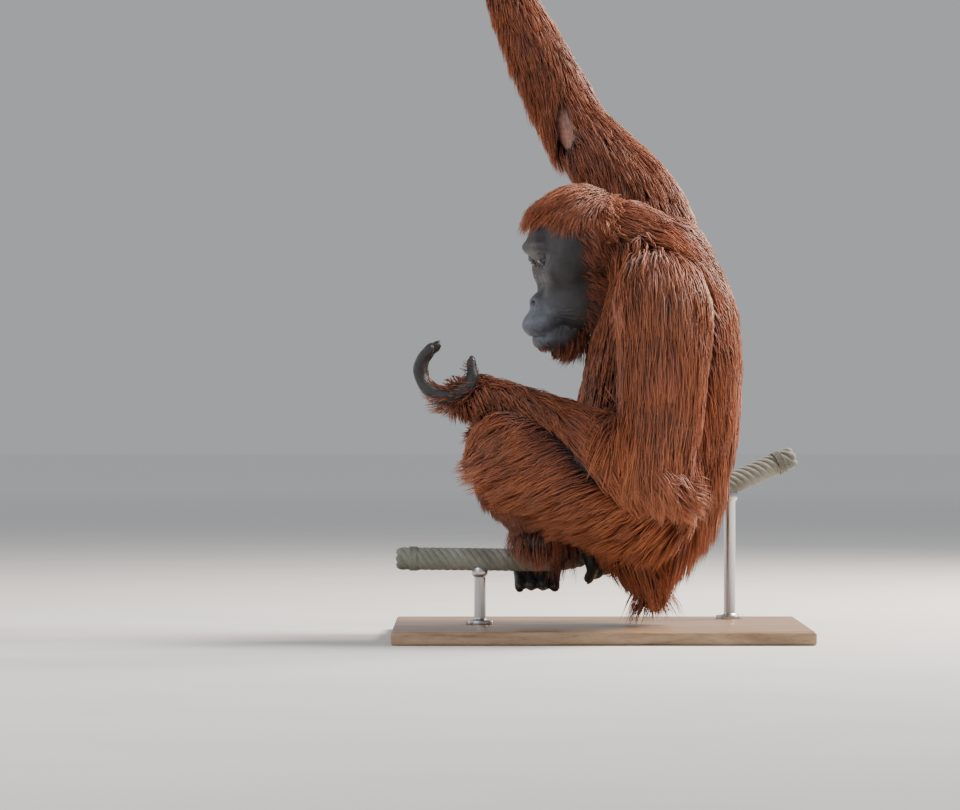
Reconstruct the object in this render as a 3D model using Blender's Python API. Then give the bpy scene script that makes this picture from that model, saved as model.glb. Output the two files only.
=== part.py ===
"""Life-size model of an adult female orangutan squatting on a rope, one arm raised to a second rope.

Metres, +Z up. The animal faces -X and its left side faces -Y. The origin is the middle of the stand's underside.
"""
import math
import random

import bmesh
import bpy
import numpy as np
from mathutils import Matrix, Vector
from mathutils.bvhtree import BVHTree

# Sizes that set the whole model
GAP = 0.0003
LOCK_GAP = 0.0006
UP = Vector((0, 0, 1))
DOWN = -UP
ACROSS = Vector((0, 1, 0))
MIDDLE_Y = -0.04

# Stand
BASE_LENGTH, BASE_WIDTH, BASE_THICK = 0.62, 0.58, 0.02
BASE_BEVEL = 0.004
ROD_RADIUS = 0.009
ROPE_RADIUS = 0.0175

# The rope that carries the feet and the seat, and the piece that the raised hand holds
SEAT_ROPE = [
    (-0.300, -0.012, 0.119),
    (-0.180, -0.018, 0.118),
    (-0.095, -0.020, 0.117),
    (-0.040, -0.018, 0.121),
    (0.005, 0.010, 0.138),
    (0.055, 0.085, 0.163),
    (0.120, 0.150, 0.192),
    (0.205, 0.188, 0.228),
    (0.300, 0.215, 0.268),
]
ROD_PLACES = {"stand_rod_front": 1, "stand_rod_back": 7}
HELD_ROPE_HALF = 0.095

# Body: each length runs through points of x, y, z, half width and half depth of the skin
COAT_CORE = 0.45
TORSO = [
    (0.052, MIDDLE_Y, 0.172, 0.082, 0.064),
    (0.062, MIDDLE_Y, 0.220, 0.116, 0.088),
    (0.074, MIDDLE_Y, 0.300, 0.128, 0.103),
    (0.086, MIDDLE_Y, 0.400, 0.132, 0.099),
    (0.090, MIDDLE_Y, 0.475, 0.130, 0.090),
    (0.084, MIDDLE_Y, 0.530, 0.112, 0.074),
    (0.072, MIDDLE_Y, 0.560, 0.088, 0.056),
]
NECK = [
    (0.082, MIDDLE_Y, 0.556, 0.064, 0.060),
    (0.054, MIDDLE_Y, 0.586, 0.056, 0.052),
    (0.022, MIDDLE_Y, 0.596, 0.050, 0.048),
]
UPPER_ARM_LEFT = [
    (0.084, -0.132, 0.522, 0.050, 0.050),
    (0.090, -0.172, 0.490, 0.052, 0.052),
    (0.090, -0.196, 0.415, 0.047, 0.047),
    (0.084, -0.208, 0.335, 0.041, 0.043),
    (0.074, -0.215, 0.262, 0.038, 0.040),
]
FOREARM_LEFT = [
    (0.074, -0.215, 0.262, 0.040, 0.041),
    (0.000, -0.197, 0.285, 0.041, 0.042),
    (-0.105, -0.162, 0.330, 0.033, 0.034),
    (-0.200, -0.130, 0.368, 0.026, 0.021),
]
UPPER_ARM_RIGHT = [
    (0.090, 0.050, 0.556, 0.055, 0.055),
    (0.086, 0.085, 0.612, 0.053, 0.053),
    (0.060, 0.125, 0.676, 0.046, 0.046),
    (0.016, 0.180, 0.728, 0.040, 0.041),
    (-0.030, 0.235, 0.782, 0.036, 0.038),
]
FOREARM_RIGHT = [
    (-0.030, 0.235, 0.782, 0.037, 0.039),
    (-0.074, 0.226, 0.862, 0.036, 0.038),
    (-0.123, 0.208, 0.960, 0.030, 0.031),
    (-0.164, 0.194, 1.052, 0.025, 0.021),
]
THIGH_LEFT = [
    (0.060, -0.110, 0.220, 0.080, 0.074),
    (-0.010, -0.150, 0.243, 0.068, 0.066),
    (-0.085, -0.180, 0.268, 0.054, 0.054),
    (-0.140, -0.195, 0.286, 0.043, 0.045),
]
SHIN_LEFT = [
    (-0.140, -0.195, 0.286, 0.042, 0.042),
    (-0.130, -0.160, 0.252, 0.043, 0.044),
    (-0.108, -0.105, 0.212, 0.034, 0.036),
    (-0.092, -0.066, 0.180, 0.027, 0.028),
]
THIGH_RIGHT = [
    (0.060, 0.035, 0.235, 0.076, 0.070),
    (-0.010, 0.070, 0.268, 0.066, 0.062),
    (-0.080, 0.100, 0.298, 0.053, 0.052),
    (-0.135, 0.120, 0.320, 0.043, 0.045),
]
SHIN_RIGHT = [
    (-0.135, 0.120, 0.320, 0.042, 0.042),
    (-0.108, 0.108, 0.275, 0.043, 0.043),
    (-0.055, 0.078, 0.222, 0.034, 0.035),
    (-0.018, 0.052, 0.188, 0.027, 0.028),
]

# Head: its masses in its own frame, facing -X, as centre and half sizes. Those off the middle are made twice.
HEAD_PLACE = Vector((-0.038, MIDDLE_Y, 0.598))
HEAD_NOD = math.radians(19)
HEAD_TURN = math.radians(14)
HEAD_BLEND = 0.011
HEAD_MASSES = {
    "cranium": ((0.006, 0.000, 0.014), (0.070, 0.063, 0.060)),
    "temple": ((-0.004, 0.034, -0.014), (0.052, 0.031, 0.046)),
    "brow": ((-0.058, 0.021, 0.010), (0.017, 0.024, 0.011)),
    "brow_middle": ((-0.058, 0.000, 0.008), (0.015, 0.018, 0.011)),
    "cheekbone": ((-0.040, 0.042, -0.034), (0.026, 0.018, 0.030)),
    "nose_bridge": ((-0.057, 0.000, -0.032), (0.014, 0.009, 0.034)),
    "under_eye": ((-0.054, 0.022, -0.034), (0.014, 0.018, 0.014)),
    "cheek": ((-0.046, 0.027, -0.066), (0.026, 0.020, 0.028)),
    "upper_jaw": ((-0.062, 0.000, -0.084), (0.040, 0.036, 0.033)),
    "nose": ((-0.086, 0.000, -0.068), (0.011, 0.0155, 0.009)),
    "upper_lip": ((-0.091, 0.000, -0.098), (0.028, 0.036, 0.021)),
    "lower_lip": ((-0.086, 0.000, -0.128), (0.024, 0.030, 0.013)),
    "chin": ((-0.062, 0.000, -0.132), (0.035, 0.032, 0.020)),
    "jaw": ((-0.024, 0.036, -0.086), (0.044, 0.021, 0.044)),
    "throat": ((0.004, 0.000, -0.086), (0.054, 0.046, 0.044)),
}
HEAD_RAYS_FROM = Vector((-0.016, 0.000, -0.036))
HEAD_AROUND, FACE_CROWDING = 34, 0.45
HEAD_RINGS = [*range(14, 60, 14), *range(68, 136, 6), *range(139, 160, 5), 168]
EYE_PLACE = Vector((-0.0585, 0.0240, -0.0085))
EYE_RADIUS = 0.0115
EAR_PLACE = Vector((0.016, 0.064, -0.014))
EAR_HALF_HEIGHT = 0.020
LID_THICK = 0.0026
SLIT_POINTS, SLIT_SWING, SLIT_DROP, SLIT_SAG = 7, 44, 12, 5
SLIT_HALF, SLIT_CORNER, SLIT_DEPTH = 0.0034, 0.15, 0.0045
NOSTRIL_FROM = Vector((-0.085, 0.0075, -0.0690))
NOSTRIL_WAY = (-1, 0.35, -0.25)
NOSTRIL_IN, NOSTRIL_OUT, NOSTRIL_RADII = 0.005, 0.004, (0.0030, 0.0044)
MOUTH_FROM = Vector((-0.070, 0.000, -0.1170))
MOUTH_POINTS, MOUTH_SWING = 9, 72
MOUTH_DROOP, MOUTH_RADIUS, MOUTH_PROUD = 0.30, 0.0032, 0.0022
# The cap of hair: its thickness, its lower edge over the brow, how far that edge falls towards the ears
HEAD_CAP = 0.012
CAP_EDGE, CAP_FALL, CAP_FALL_FROM, CAP_FALL_OVER, CAP_FADE = 0.012, 0.9, -0.035, 0.05, 0.03

# Hands and feet
HAND = {"half_span": 0.037, "half_thick": 0.015, "finger": 0.0098, "tip": 0.0076, "spacing": 0.0195}
FOOT = {"half_span": 0.035, "half_thick": 0.017, "finger": 0.0100, "tip": 0.0082, "spacing": 0.0185}
CRADLE_RADIUS = 0.028
CRADLE_SWEEP, HELD_SWEEP, FOOT_SWEEP = 168, 238, 215
DIGIT_POINTS, DIGIT_FROM, DIGIT_GATHER = 6, -12, 0.06
DIGIT_SHARES = (0.92, 1.0, 0.98, 0.86)
THUMB_RADII = (0.0115, 0.0105, 0.0095, 0.0075)

COLOURS = {
    "coat": (0.30, 0.085, 0.035, 0.75, 0.0),
    "dark_skin": (0.055, 0.042, 0.045, 0.55, 0.0),
    "eye": (0.035, 0.018, 0.010, 0.10, 0.0),
    "rope": (0.20, 0.20, 0.17, 0.85, 0.0),
    "stand": (0.36, 0.25, 0.16, 0.50, 0.0),
    "rod": (0.30, 0.30, 0.31, 0.35, 0.9),
}


def material(name):
    found = bpy.data.materials.get(name)
    if found:
        return found
    red, green, blue, rough, metal = COLOURS[name]
    made = bpy.data.materials.new(name)
    made.use_nodes = True
    shader = made.node_tree.nodes["Principled BSDF"]
    shader.inputs["Base Color"].default_value = (red, green, blue, 1)
    shader.inputs["Roughness"].default_value = rough
    shader.inputs["Metallic"].default_value = metal
    made.diffuse_color = (red, green, blue, 1)
    return made


def mesh_object(name, verts, faces, finish="coat"):
    """A mesh of triangles, all quads split the same way, so that a shape and its wider copy never cross."""
    triangles = [(f[0], f[k], f[k + 1]) for f in faces for k in range(1, len(f) - 1)]
    mesh = bpy.data.meshes.new(name)
    mesh.from_pydata([tuple(v) for v in verts], [], triangles)
    mesh.materials.append(material(finish))
    made = bpy.data.objects.new(name, mesh)
    bpy.context.scene.collection.objects.link(made)
    return made


def spline(points, count):
    """Points spread evenly along a Catmull-Rom curve through rows of numbers."""
    rows = [np.array(p, float) for p in points]
    rows = [2 * rows[0] - rows[1], *rows, 2 * rows[-1] - rows[-2]]
    spans = len(points) - 1
    fine = []
    for i in range(spans * 16 + 1):
        span = min(i // 16, spans - 1)
        t = i / 16 - span
        a, b, c, d = rows[span : span + 4]
        fine.append(
            0.5 * (2 * b + (c - a) * t + (2 * a - 5 * b + 4 * c - d) * t**2 + (3 * b - a - 3 * c + d) * t**3)
        )
    fine = np.array(fine)
    steps = np.linalg.norm(np.diff(fine[:, :3], axis=0), axis=1)
    along = np.concatenate([[0], np.cumsum(steps)])
    wanted = np.linspace(0, along[-1], count)
    return np.array([np.interp(wanted, along, fine[:, k]) for k in range(fine.shape[1])]).T


def loft(name, points, rings, sides, side_hint=ACROSS, extra=0.0, finish="coat", dome=(0.85,)):
    """A closed round length through rows of x, y, z, half width and half depth, with domed ends."""
    rows = spline(points, rings)
    centres = [Vector(r[:3]) for r in rows]
    ahead = [
        (centres[min(i + 1, rings - 1)] - centres[max(i - 1, 0)]).normalized() for i in range(rings)
    ]
    circles = [(c, t, r[3] + extra, r[4] + extra) for c, t, r in zip(centres, ahead, rows)]
    first, last = circles[0], circles[-1]
    for share in dome:
        rise = math.sqrt(1 - share**2)
        for end, sign, place in ((first, -1, 0), (last, 1, len(circles))):
            centre, tangent, wide, deep = end
            ring = (centre + sign * tangent * min(wide, deep) * rise, tangent, wide * share, deep * share)
            circles.insert(0 if sign < 0 else len(circles), ring)
    verts, faces = [], []
    for centre, tangent, wide, deep in circles:
        side = (side_hint - tangent * tangent.dot(side_hint)).normalized()
        out = tangent.cross(side)
        for k in range(sides):
            angle = 2 * math.pi * k / sides
            verts.append(centre + side * wide * math.cos(angle) + out * deep * math.sin(angle))
    for i in range(len(circles) - 1):
        for k in range(sides):
            a, b = i * sides + k, i * sides + (k + 1) % sides
            faces.append((a, b, b + sides, a + sides))
    for end, sign, ring in ((first, -1, 0), (last, 1, len(circles) - 1)):
        centre, tangent, wide, deep = end
        verts.append(centre + sign * tangent * min(wide, deep))
        tip = len(verts) - 1
        for k in range(sides):
            a, b = ring * sides + k, ring * sides + (k + 1) % sides
            faces.append((b, a, tip) if sign < 0 else (a, b, tip))
    return mesh_object(name, verts, faces, finish)


def with_coat(points, depth):
    """The same length with its skin widened by the coat's core."""
    return [(x, y, z, wide + depth * COAT_CORE, deep + depth * COAT_CORE) for x, y, z, wide, deep in points]


def joined(target, pieces, operation="UNION"):
    """One Boolean on a collection, applied. MANIFOLD, because EXACT is slow on this many locks."""
    if not pieces:
        return target
    group = bpy.data.collections.new("pieces")
    bpy.context.scene.collection.children.link(group)
    for piece in pieces:
        group.objects.link(piece)
    boolean = target.modifiers.new("join", "BOOLEAN")
    boolean.operation = operation
    boolean.operand_type = "COLLECTION"
    boolean.collection = group
    boolean.solver = "MANIFOLD"
    graph = bpy.context.evaluated_depsgraph_get()
    mesh = bpy.data.meshes.new_from_object(target.evaluated_get(graph))
    target.modifiers.clear()
    target.data = mesh
    for piece in pieces:
        bpy.data.objects.remove(piece)
    bpy.data.collections.remove(group)
    return target


def largest_surface(obj):
    """Keeps the largest closed surface of a node, as thin cuts can leave scraps."""
    work = bmesh.new()
    work.from_mesh(obj.data)
    left = set(work.faces)
    islands = []
    while left:
        stack = [left.pop()]
        island = list(stack)
        while stack:
            for edge in stack.pop().edges:
                for face in edge.link_faces:
                    if face in left:
                        left.remove(face)
                        stack.append(face)
                        island.append(face)
        islands.append(island)
    def volume(island):
        total = 0.0
        for face in island:
            a = face.verts[0].co
            for b, c in zip(face.verts[1:], face.verts[2:]):
                total += a.dot(b.co.cross(c.co)) / 6
        return total
    keep = max(islands, key=volume)
    for island in islands:
        if island is not keep:
            bmesh.ops.delete(work, geom=island, context="FACES")
    work.to_mesh(obj.data)
    work.free()
    return obj


class Room:
    """A widened copy of a core or a lock, kept out of the scene, that cuts clear what comes near it."""

    def __init__(self, obj):
        obj.name = "room"
        bpy.context.scene.collection.objects.unlink(obj)
        self.obj = obj
        self.points, self.tree = surface_tree(obj)

    def meets(self, points, tree):
        apart = (self.points.min(0) > points.max(0)).any() or (points.min(0) > self.points.max(0)).any()
        if apart:
            return False
        return bool(self.tree.overlap(tree)) or inside(self.tree, points[0]) or inside(tree, self.points[0])

    def cutter(self):
        made = self.obj.copy()
        made.data = self.obj.data.copy()
        return made


def inside(tree, point):
    place, normal, _, _ = tree.find_nearest(Vector(point))
    return (Vector(point) - place).dot(normal) < 0


def surface_tree(obj):
    points = [v.co.copy() for v in obj.data.vertices]
    faces = [tuple(f.vertices) for f in obj.data.polygons]
    return np.array(points), BVHTree.FromPolygons(points, faces)


def cut_clear(obj, rooms, more=()):
    points, tree = surface_tree(obj)
    return joined(obj, [*more, *(room.cutter() for room in rooms if room.meets(points, tree))], "DIFFERENCE")


def head_turned(point):
    """A point of the head's own frame, nodded, turned and put in place."""
    return HEAD_MATRIX @ Vector(point)


HEAD_MATRIX = (
    Matrix.Translation(HEAD_PLACE)
    @ Matrix.Rotation(HEAD_TURN, 4, "Z")
    @ Matrix.Rotation(-HEAD_NOD, 4, "Y")
)


def head_masses():
    for (x, y, z), sizes in HEAD_MASSES.values():
        for side in (-1, 1) if y else (1,):
            yield np.array((x, y * side, z)), np.array(sizes)


def head_field(points):
    """Below 0 inside the head: its masses blended by a soft minimum."""
    total = np.zeros(len(points))
    for centre, sizes in head_masses():
        scaled = np.linalg.norm((points - centre) / sizes, axis=1)
        gradient = np.linalg.norm((points - centre) / sizes**2, axis=1) + 1e-9
        distance = scaled * (scaled - 1) / gradient
        total += np.exp(-distance / HEAD_BLEND * 2.2)
    return -np.log(total + 1e-30) * HEAD_BLEND / 2.2


def head_radius(directions, start=None):
    """How far the head's surface is along each ray from its middle, or from another start."""
    start = np.array(HEAD_RAYS_FROM if start is None else start)
    low, high = np.full(len(directions), 0.01), np.full(len(directions), 0.17)
    for _ in range(30):
        mid = (low + high) / 2
        inside = head_field(start + directions * mid[:, None]) < 0
        low, high = np.where(inside, mid, low), np.where(inside, high, mid)
    return low


def on_head(start, way):
    """The point of the head's own surface that a ray from start meets."""
    way = np.array(way, float) / np.linalg.norm(way)
    return Vector(np.array(start) + way * head_radius(way[None, :], start)[0])


def head_core(name, extra=0.0):
    """The head as a globe of rays, closer together over the face, with the cap of hair's core."""
    start = np.array(HEAD_RAYS_FROM)
    rows = []
    across, down = HEAD_AROUND, len(HEAD_RINGS) + 1
    for polar in np.radians(HEAD_RINGS):
        for k in range(across):
            turn = 2 * math.pi * k / across
            turn -= FACE_CROWDING * math.sin(turn)
            rows.append((-math.sin(polar) * math.cos(turn), math.sin(polar) * math.sin(turn), math.cos(polar)))
    rows += [(0, 0, 1), (0, 0, -1)]
    rays = np.array(rows)
    reach = head_radius(rays)
    points = start + rays * reach[:, None]
    fall = CAP_FALL * np.clip(points[:, 0] - CAP_FALL_FROM, 0, CAP_FALL_OVER)
    cap = np.clip((points[:, 2] - CAP_EDGE + fall) / CAP_FADE, 0, 1)
    points += rays * (cap * HEAD_CAP * COAT_CORE + extra)[:, None]
    verts = [head_turned(p) for p in points]
    faces = []
    top, bottom = len(verts) - 2, len(verts) - 1
    for k in range(across):
        after = (k + 1) % across
        faces.append((k, top, after))
        last = (down - 2) * across
        faces.append((last + k, last + after, bottom))
        for i in range(down - 2):
            a, b = i * across + k, i * across + after
            faces.append((a, b, b + across, a + across))
    made = mesh_object(name, verts, faces)
    outward(made)
    return made


def outward(obj):
    work = bmesh.new()
    work.from_mesh(obj.data)
    bmesh.ops.recalc_face_normals(work, faces=work.faces)
    work.to_mesh(obj.data)
    work.free()


def tube(name, points, radii, sides, side_hint=ACROSS, extra=0.0, rings=None, finish="coat"):
    rows = [(*p, r, r) for p, r in zip(points, radii)]
    return loft(name, rows, rings or len(rows), sides, side_hint, extra, finish, dome=(0.8,))


def ball(name, centre, radius, segments, rings, finish):
    mesh = bpy.data.meshes.new(name)
    work = bmesh.new()
    bmesh.ops.create_uvsphere(work, u_segments=segments, v_segments=rings, radius=radius)
    work.to_mesh(mesh)
    work.free()
    mesh.transform(Matrix.Translation(centre))
    mesh.materials.append(material(finish))
    made = bpy.data.objects.new(name, mesh)
    bpy.context.scene.collection.objects.link(made)
    return made


def eye(name, side, extra=0.0):
    centre = head_turned((EYE_PLACE.x, EYE_PLACE.y * side, EYE_PLACE.z))
    return ball(name, centre, EYE_RADIUS + extra, 12, 7, "eye")


def lids(side):
    """A shell of lid round the front of the eyeball, to join, and the slit between the lids, to cut."""
    centre = Vector((EYE_PLACE.x, EYE_PLACE.y * side, EYE_PLACE.z))
    shell = ball("lid", head_turned(centre), EYE_RADIUS + LID_THICK, 12, 8, "coat")
    rows = []
    for k in range(SLIT_POINTS):
        share = 2 * k / (SLIT_POINTS - 1) - 1
        swing = math.radians(SLIT_SWING * share)
        sag = math.radians(-SLIT_DROP) - math.radians(SLIT_SAG) * math.cos(swing * 1.5)
        way = Vector((-math.cos(swing) * math.cos(sag), math.sin(swing) * math.cos(sag), math.sin(sag)))
        half_open = SLIT_HALF * (SLIT_CORNER + (1 - SLIT_CORNER) * math.cos(math.pi / 2 * share * 0.88))
        rows.append((*head_turned(centre + way * (EYE_RADIUS + 0.001)), half_open, SLIT_DEPTH))
    slit = loft("slit", rows, 6, 6, UP, dome=(0.8,))
    return shell, slit


def ear(name, side, extra=0.0):
    """A small round cup with a rolled rim, turned from its own profile. The room kept for it has no cup."""
    back = [(0.55, -0.0045 - extra), (0.9, -extra), (1.0, 0.0045)]
    front = [(0.86, 0.006 + extra)] if extra else [(0.86, 0.006), (0.62, 0.001)]
    middles = (-0.005 - extra, 0.006 + extra if extra else -0.001)
    sides = 12
    verts, faces = [], []
    for share, height in back + front:
        for k in range(sides):
            angle = 2 * math.pi * k / sides
            reach = share * EAR_HALF_HEIGHT + extra
            verts.append(Vector((reach * 0.72 * math.cos(angle), height, reach * math.sin(angle))))
    rows = len(back + front)
    for i in range(rows - 1):
        for k in range(sides):
            a, b = i * sides + k, i * sides + (k + 1) % sides
            faces.append((a, b, b + sides, a + sides))
    verts += [Vector((0, height, 0)) for height in middles]
    for k in range(sides):
        a, b = k, (k + 1) % sides
        last = (rows - 1) * sides
        faces.append((b, a, len(verts) - 2))
        faces.append((last + a, last + b, len(verts) - 1))
    place = Matrix.Translation(EAR_PLACE) @ Matrix.Rotation(math.radians(-28), 4, "Z")
    mirror = Matrix.Diagonal((1, side, 1, 1))
    made = mesh_object(name, [HEAD_MATRIX @ mirror @ place @ v for v in verts], faces, "dark_skin")
    outward(made)
    return made


def head_details():
    """Lids to join, and the slits between them, the nostrils and the line of the mouth to cut."""
    pairs = [lids(side) for side in (-1, 1)]
    joins, cuts = [shell for shell, _ in pairs], [slit for _, slit in pairs]
    for side in (-1, 1):
        inner = Vector((NOSTRIL_FROM.x, NOSTRIL_FROM.y * side, NOSTRIL_FROM.z))
        outer = on_head(inner, (NOSTRIL_WAY[0], NOSTRIL_WAY[1] * side, NOSTRIL_WAY[2]))
        way = (outer - inner).normalized()
        points = [head_turned(outer - way * NOSTRIL_IN), head_turned(outer + way * NOSTRIL_OUT)]
        cuts.append(tube("nostril", points, NOSTRIL_RADII, 6, UP))
    rim = []
    for k in range(MOUTH_POINTS):
        swing = math.radians(MOUTH_SWING * (2 * k / (MOUTH_POINTS - 1) - 1))
        droop = -MOUTH_DROOP * (1 - math.cos(swing))
        way = Vector((-math.cos(swing), math.sin(swing), droop))
        rim.append(head_turned(on_head(MOUTH_FROM, way) + way * MOUTH_PROUD))
    cuts.append(tube("mouth", rim, [MOUTH_RADIUS] * MOUTH_POINTS, 4, UP))
    return joins, cuts


def grasp(name, start, centre, along, over, sizes, radius, thumb_side, sweep, extra=0.0, heel=None, hang=1.0):
    """A palm or sole and its digits, curled round a bar at centre.

    along points from the wrist or heel across the bar, over from the bar to the back of the hand.
    """
    bar = along.cross(over)
    reach = radius + sizes["finger"] + GAP
    back = radius + sizes["half_thick"] + GAP
    knuckles = centre + over * back + along * 0.004
    middle = start.lerp(knuckles, 0.55) + over * 0.004
    span, thick = sizes["half_span"], sizes["half_thick"]
    rows = [(*start, span * 0.72, thick * 1.15), (*middle, span * 0.95, thick * 1.1), (*knuckles, span, thick)]
    if heel is not None:
        rows.insert(0, (*heel, span * 0.62, thick * 1.15))
    made = loft(name, rows, 5, 10, bar, extra, "dark_skin", dome=(0.75,))
    pieces = []
    for k in range(4):
        place = (k - 1.5) * sizes["spacing"]
        reach_share = DIGIT_SHARES[k if thumb_side < 0 else 3 - k]
        points = []
        turns = DIGIT_POINTS
        for i in range(turns):
            angle = math.radians(DIGIT_FROM + sweep * reach_share * i / (turns - 1))
            spread = place * (1.0 - DIGIT_GATHER * i / turns)
            lift = math.cos(angle) if angle < math.pi / 2 else math.cos(angle) * hang
            points.append(centre + bar * spread + (over * lift + along * math.sin(angle)) * reach)
        radii = [sizes["finger"] + (sizes["tip"] - sizes["finger"]) * i / (turns - 1) for i in range(turns)]
        pieces.append(tube("digit", points, radii, 6, bar, extra))
    thumb_root = start.lerp(knuckles, 0.35) + bar * thumb_side * span * 0.75
    thumb_bend = centre + bar * thumb_side * (span + 0.006) - along * (reach + 0.006) + over * reach * 0.4
    thumb_tip = centre + bar * thumb_side * (span - 0.004) - along * (reach + 0.002) - over * reach * 0.35
    points = [thumb_root, thumb_root.lerp(thumb_bend, 0.6) + bar * thumb_side * 0.003, thumb_bend, thumb_tip]
    pieces.append(tube("thumb", points, THUMB_RADII, 6, over, extra))
    return joined(made, pieces)


def rope_at(x):
    rows = spline(SEAT_ROPE, 60)
    return Vector([np.interp(x, rows[:, 0], rows[:, k]) for k in range(3)])


def hand_left(name, extra=0.0):
    wrist = Vector(FOREARM_LEFT[-1][:3])
    centre = wrist + Vector((-0.030, 0.004, 0.034))
    along = Vector((-1, 0.10, 0.05)).normalized()
    over = (DOWN - along * along.dot(DOWN)).normalized()
    return grasp(name, wrist, centre, along, over, HAND, CRADLE_RADIUS, 1, CRADLE_SWEEP, extra)


def held_rope_frame():
    wrist = Vector(FOREARM_RIGHT[-1][:3])
    arm = (wrist - Vector(FOREARM_RIGHT[-2][:3])).normalized()
    bar = Vector((1, 0, 0.06)).normalized()
    along = (arm - bar * arm.dot(bar)).normalized()
    over = bar.cross(along) * -1
    centre = wrist + arm * 0.092 - over * 0.030
    return centre, along, over, bar


def hand_right(name, extra=0.0):
    centre, along, over, bar = held_rope_frame()
    wrist = Vector(FOREARM_RIGHT[-1][:3])
    side = 1 if along.cross(over).dot(bar) > 0 else -1
    return grasp(name, wrist, centre, along, over, HAND, ROPE_RADIUS, side, HELD_SWEEP, extra)


def foot_left(name, extra=0.0):
    centre = rope_at(-0.094)
    along, over = ACROSS.copy(), UP.copy()
    heel = centre + over * 0.030 - along * 0.088
    start = centre + over * 0.036 - along * 0.055
    return grasp(name, start, centre, along, over, FOOT, ROPE_RADIUS, 1, FOOT_SWEEP, extra, heel, 1.45)


def foot_right(name, extra=0.0):
    centre = rope_at(-0.012)
    bar = (rope_at(0.000) - rope_at(-0.024)).normalized()
    along = (-ACROSS - bar * bar.dot(-ACROSS)).normalized()
    over = bar.cross(along)
    over = over if over.z > 0 else -over
    heel = centre + over * 0.030 - along * 0.080
    start = centre + over * 0.036 - along * 0.050
    side = 1 if along.cross(over).x > 0 else -1
    return grasp(name, start, centre, along, over, FOOT, ROPE_RADIUS, side, FOOT_SWEEP, extra, heel, 1.3)


def seat_rope(name, extra=0.0):
    rows = [(*p, ROPE_RADIUS, ROPE_RADIUS) for p in SEAT_ROPE]
    return loft(name, rows, 18, 10, ACROSS, extra, "rope", dome=(0.9,))


def held_rope(name, extra=0.0):
    centre, _, _, bar = held_rope_frame()
    ends = [centre - bar * HELD_ROPE_HALF, centre, centre + bar * HELD_ROPE_HALF]
    return loft(name, [(*p, ROPE_RADIUS, ROPE_RADIUS) for p in ends], 3, 12, ACROSS, extra, "rope", dome=(0.9,))


def base(name, extra=0.0):
    work = bmesh.new()
    bmesh.ops.create_cube(work, size=1)
    size = Vector((BASE_LENGTH + 2 * extra, BASE_WIDTH + 2 * extra, BASE_THICK + 2 * extra))
    bmesh.ops.scale(work, vec=size, verts=work.verts)
    bmesh.ops.translate(work, vec=(0, 0, BASE_THICK / 2), verts=work.verts)
    bmesh.ops.bevel(work, geom=work.edges[:], offset=BASE_BEVEL, segments=2, affect="EDGES", profile=0.5)
    mesh = bpy.data.meshes.new(name)
    work.to_mesh(mesh)
    work.free()
    mesh.materials.append(material("stand"))
    made = bpy.data.objects.new(name, mesh)
    bpy.context.scene.collection.objects.link(made)
    return made


def rod(name, extra=0.0):
    """A plain rod from just above the base up into a shallow seat that the rope's underside cuts in it."""
    place = Vector(SEAT_ROPE[ROD_PLACES[name]])
    low, high = BASE_THICK + GAP - extra, place.z - ROPE_RADIUS * 0.35
    work = bmesh.new()
    bmesh.ops.create_cone(
        work, cap_ends=True, segments=20, radius1=ROD_RADIUS + extra, radius2=ROD_RADIUS + extra, depth=high - low
    )
    bmesh.ops.translate(work, vec=(place.x, place.y, (low + high) / 2), verts=work.verts)
    mesh = bpy.data.meshes.new(name)
    work.to_mesh(mesh)
    work.free()
    mesh.materials.append(material("rod"))
    made = bpy.data.objects.new(name, mesh)
    bpy.context.scene.collection.objects.link(made)
    return made


# Coat of each furred length, with the shape of its solid core
LENGTHS = {
    "torso": {"points": TORSO, "depth": 0.034, "rings": 8, "sides": 18},
    "neck": {"points": NECK, "depth": 0.020, "rings": 3, "sides": 14},
    "upper_arm_left": {"points": UPPER_ARM_LEFT, "depth": 0.026, "rings": 5, "sides": 14},
    "forearm_left": {"points": FOREARM_LEFT, "depth": 0.018, "rings": 5, "sides": 12},
    "upper_arm_right": {"points": UPPER_ARM_RIGHT, "depth": 0.016, "rings": 6, "sides": 14},
    "forearm_right": {"points": FOREARM_RIGHT, "depth": 0.014, "rings": 5, "sides": 12},
    "thigh_left": {"points": THIGH_LEFT, "depth": 0.022, "rings": 5, "sides": 14},
    "shin_left": {"points": SHIN_LEFT, "depth": 0.018, "rings": 4, "sides": 12},
    "thigh_right": {"points": THIGH_RIGHT, "depth": 0.022, "rings": 5, "sides": 14},
    "shin_right": {"points": SHIN_RIGHT, "depth": 0.018, "rings": 4, "sides": 12},
}

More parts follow.
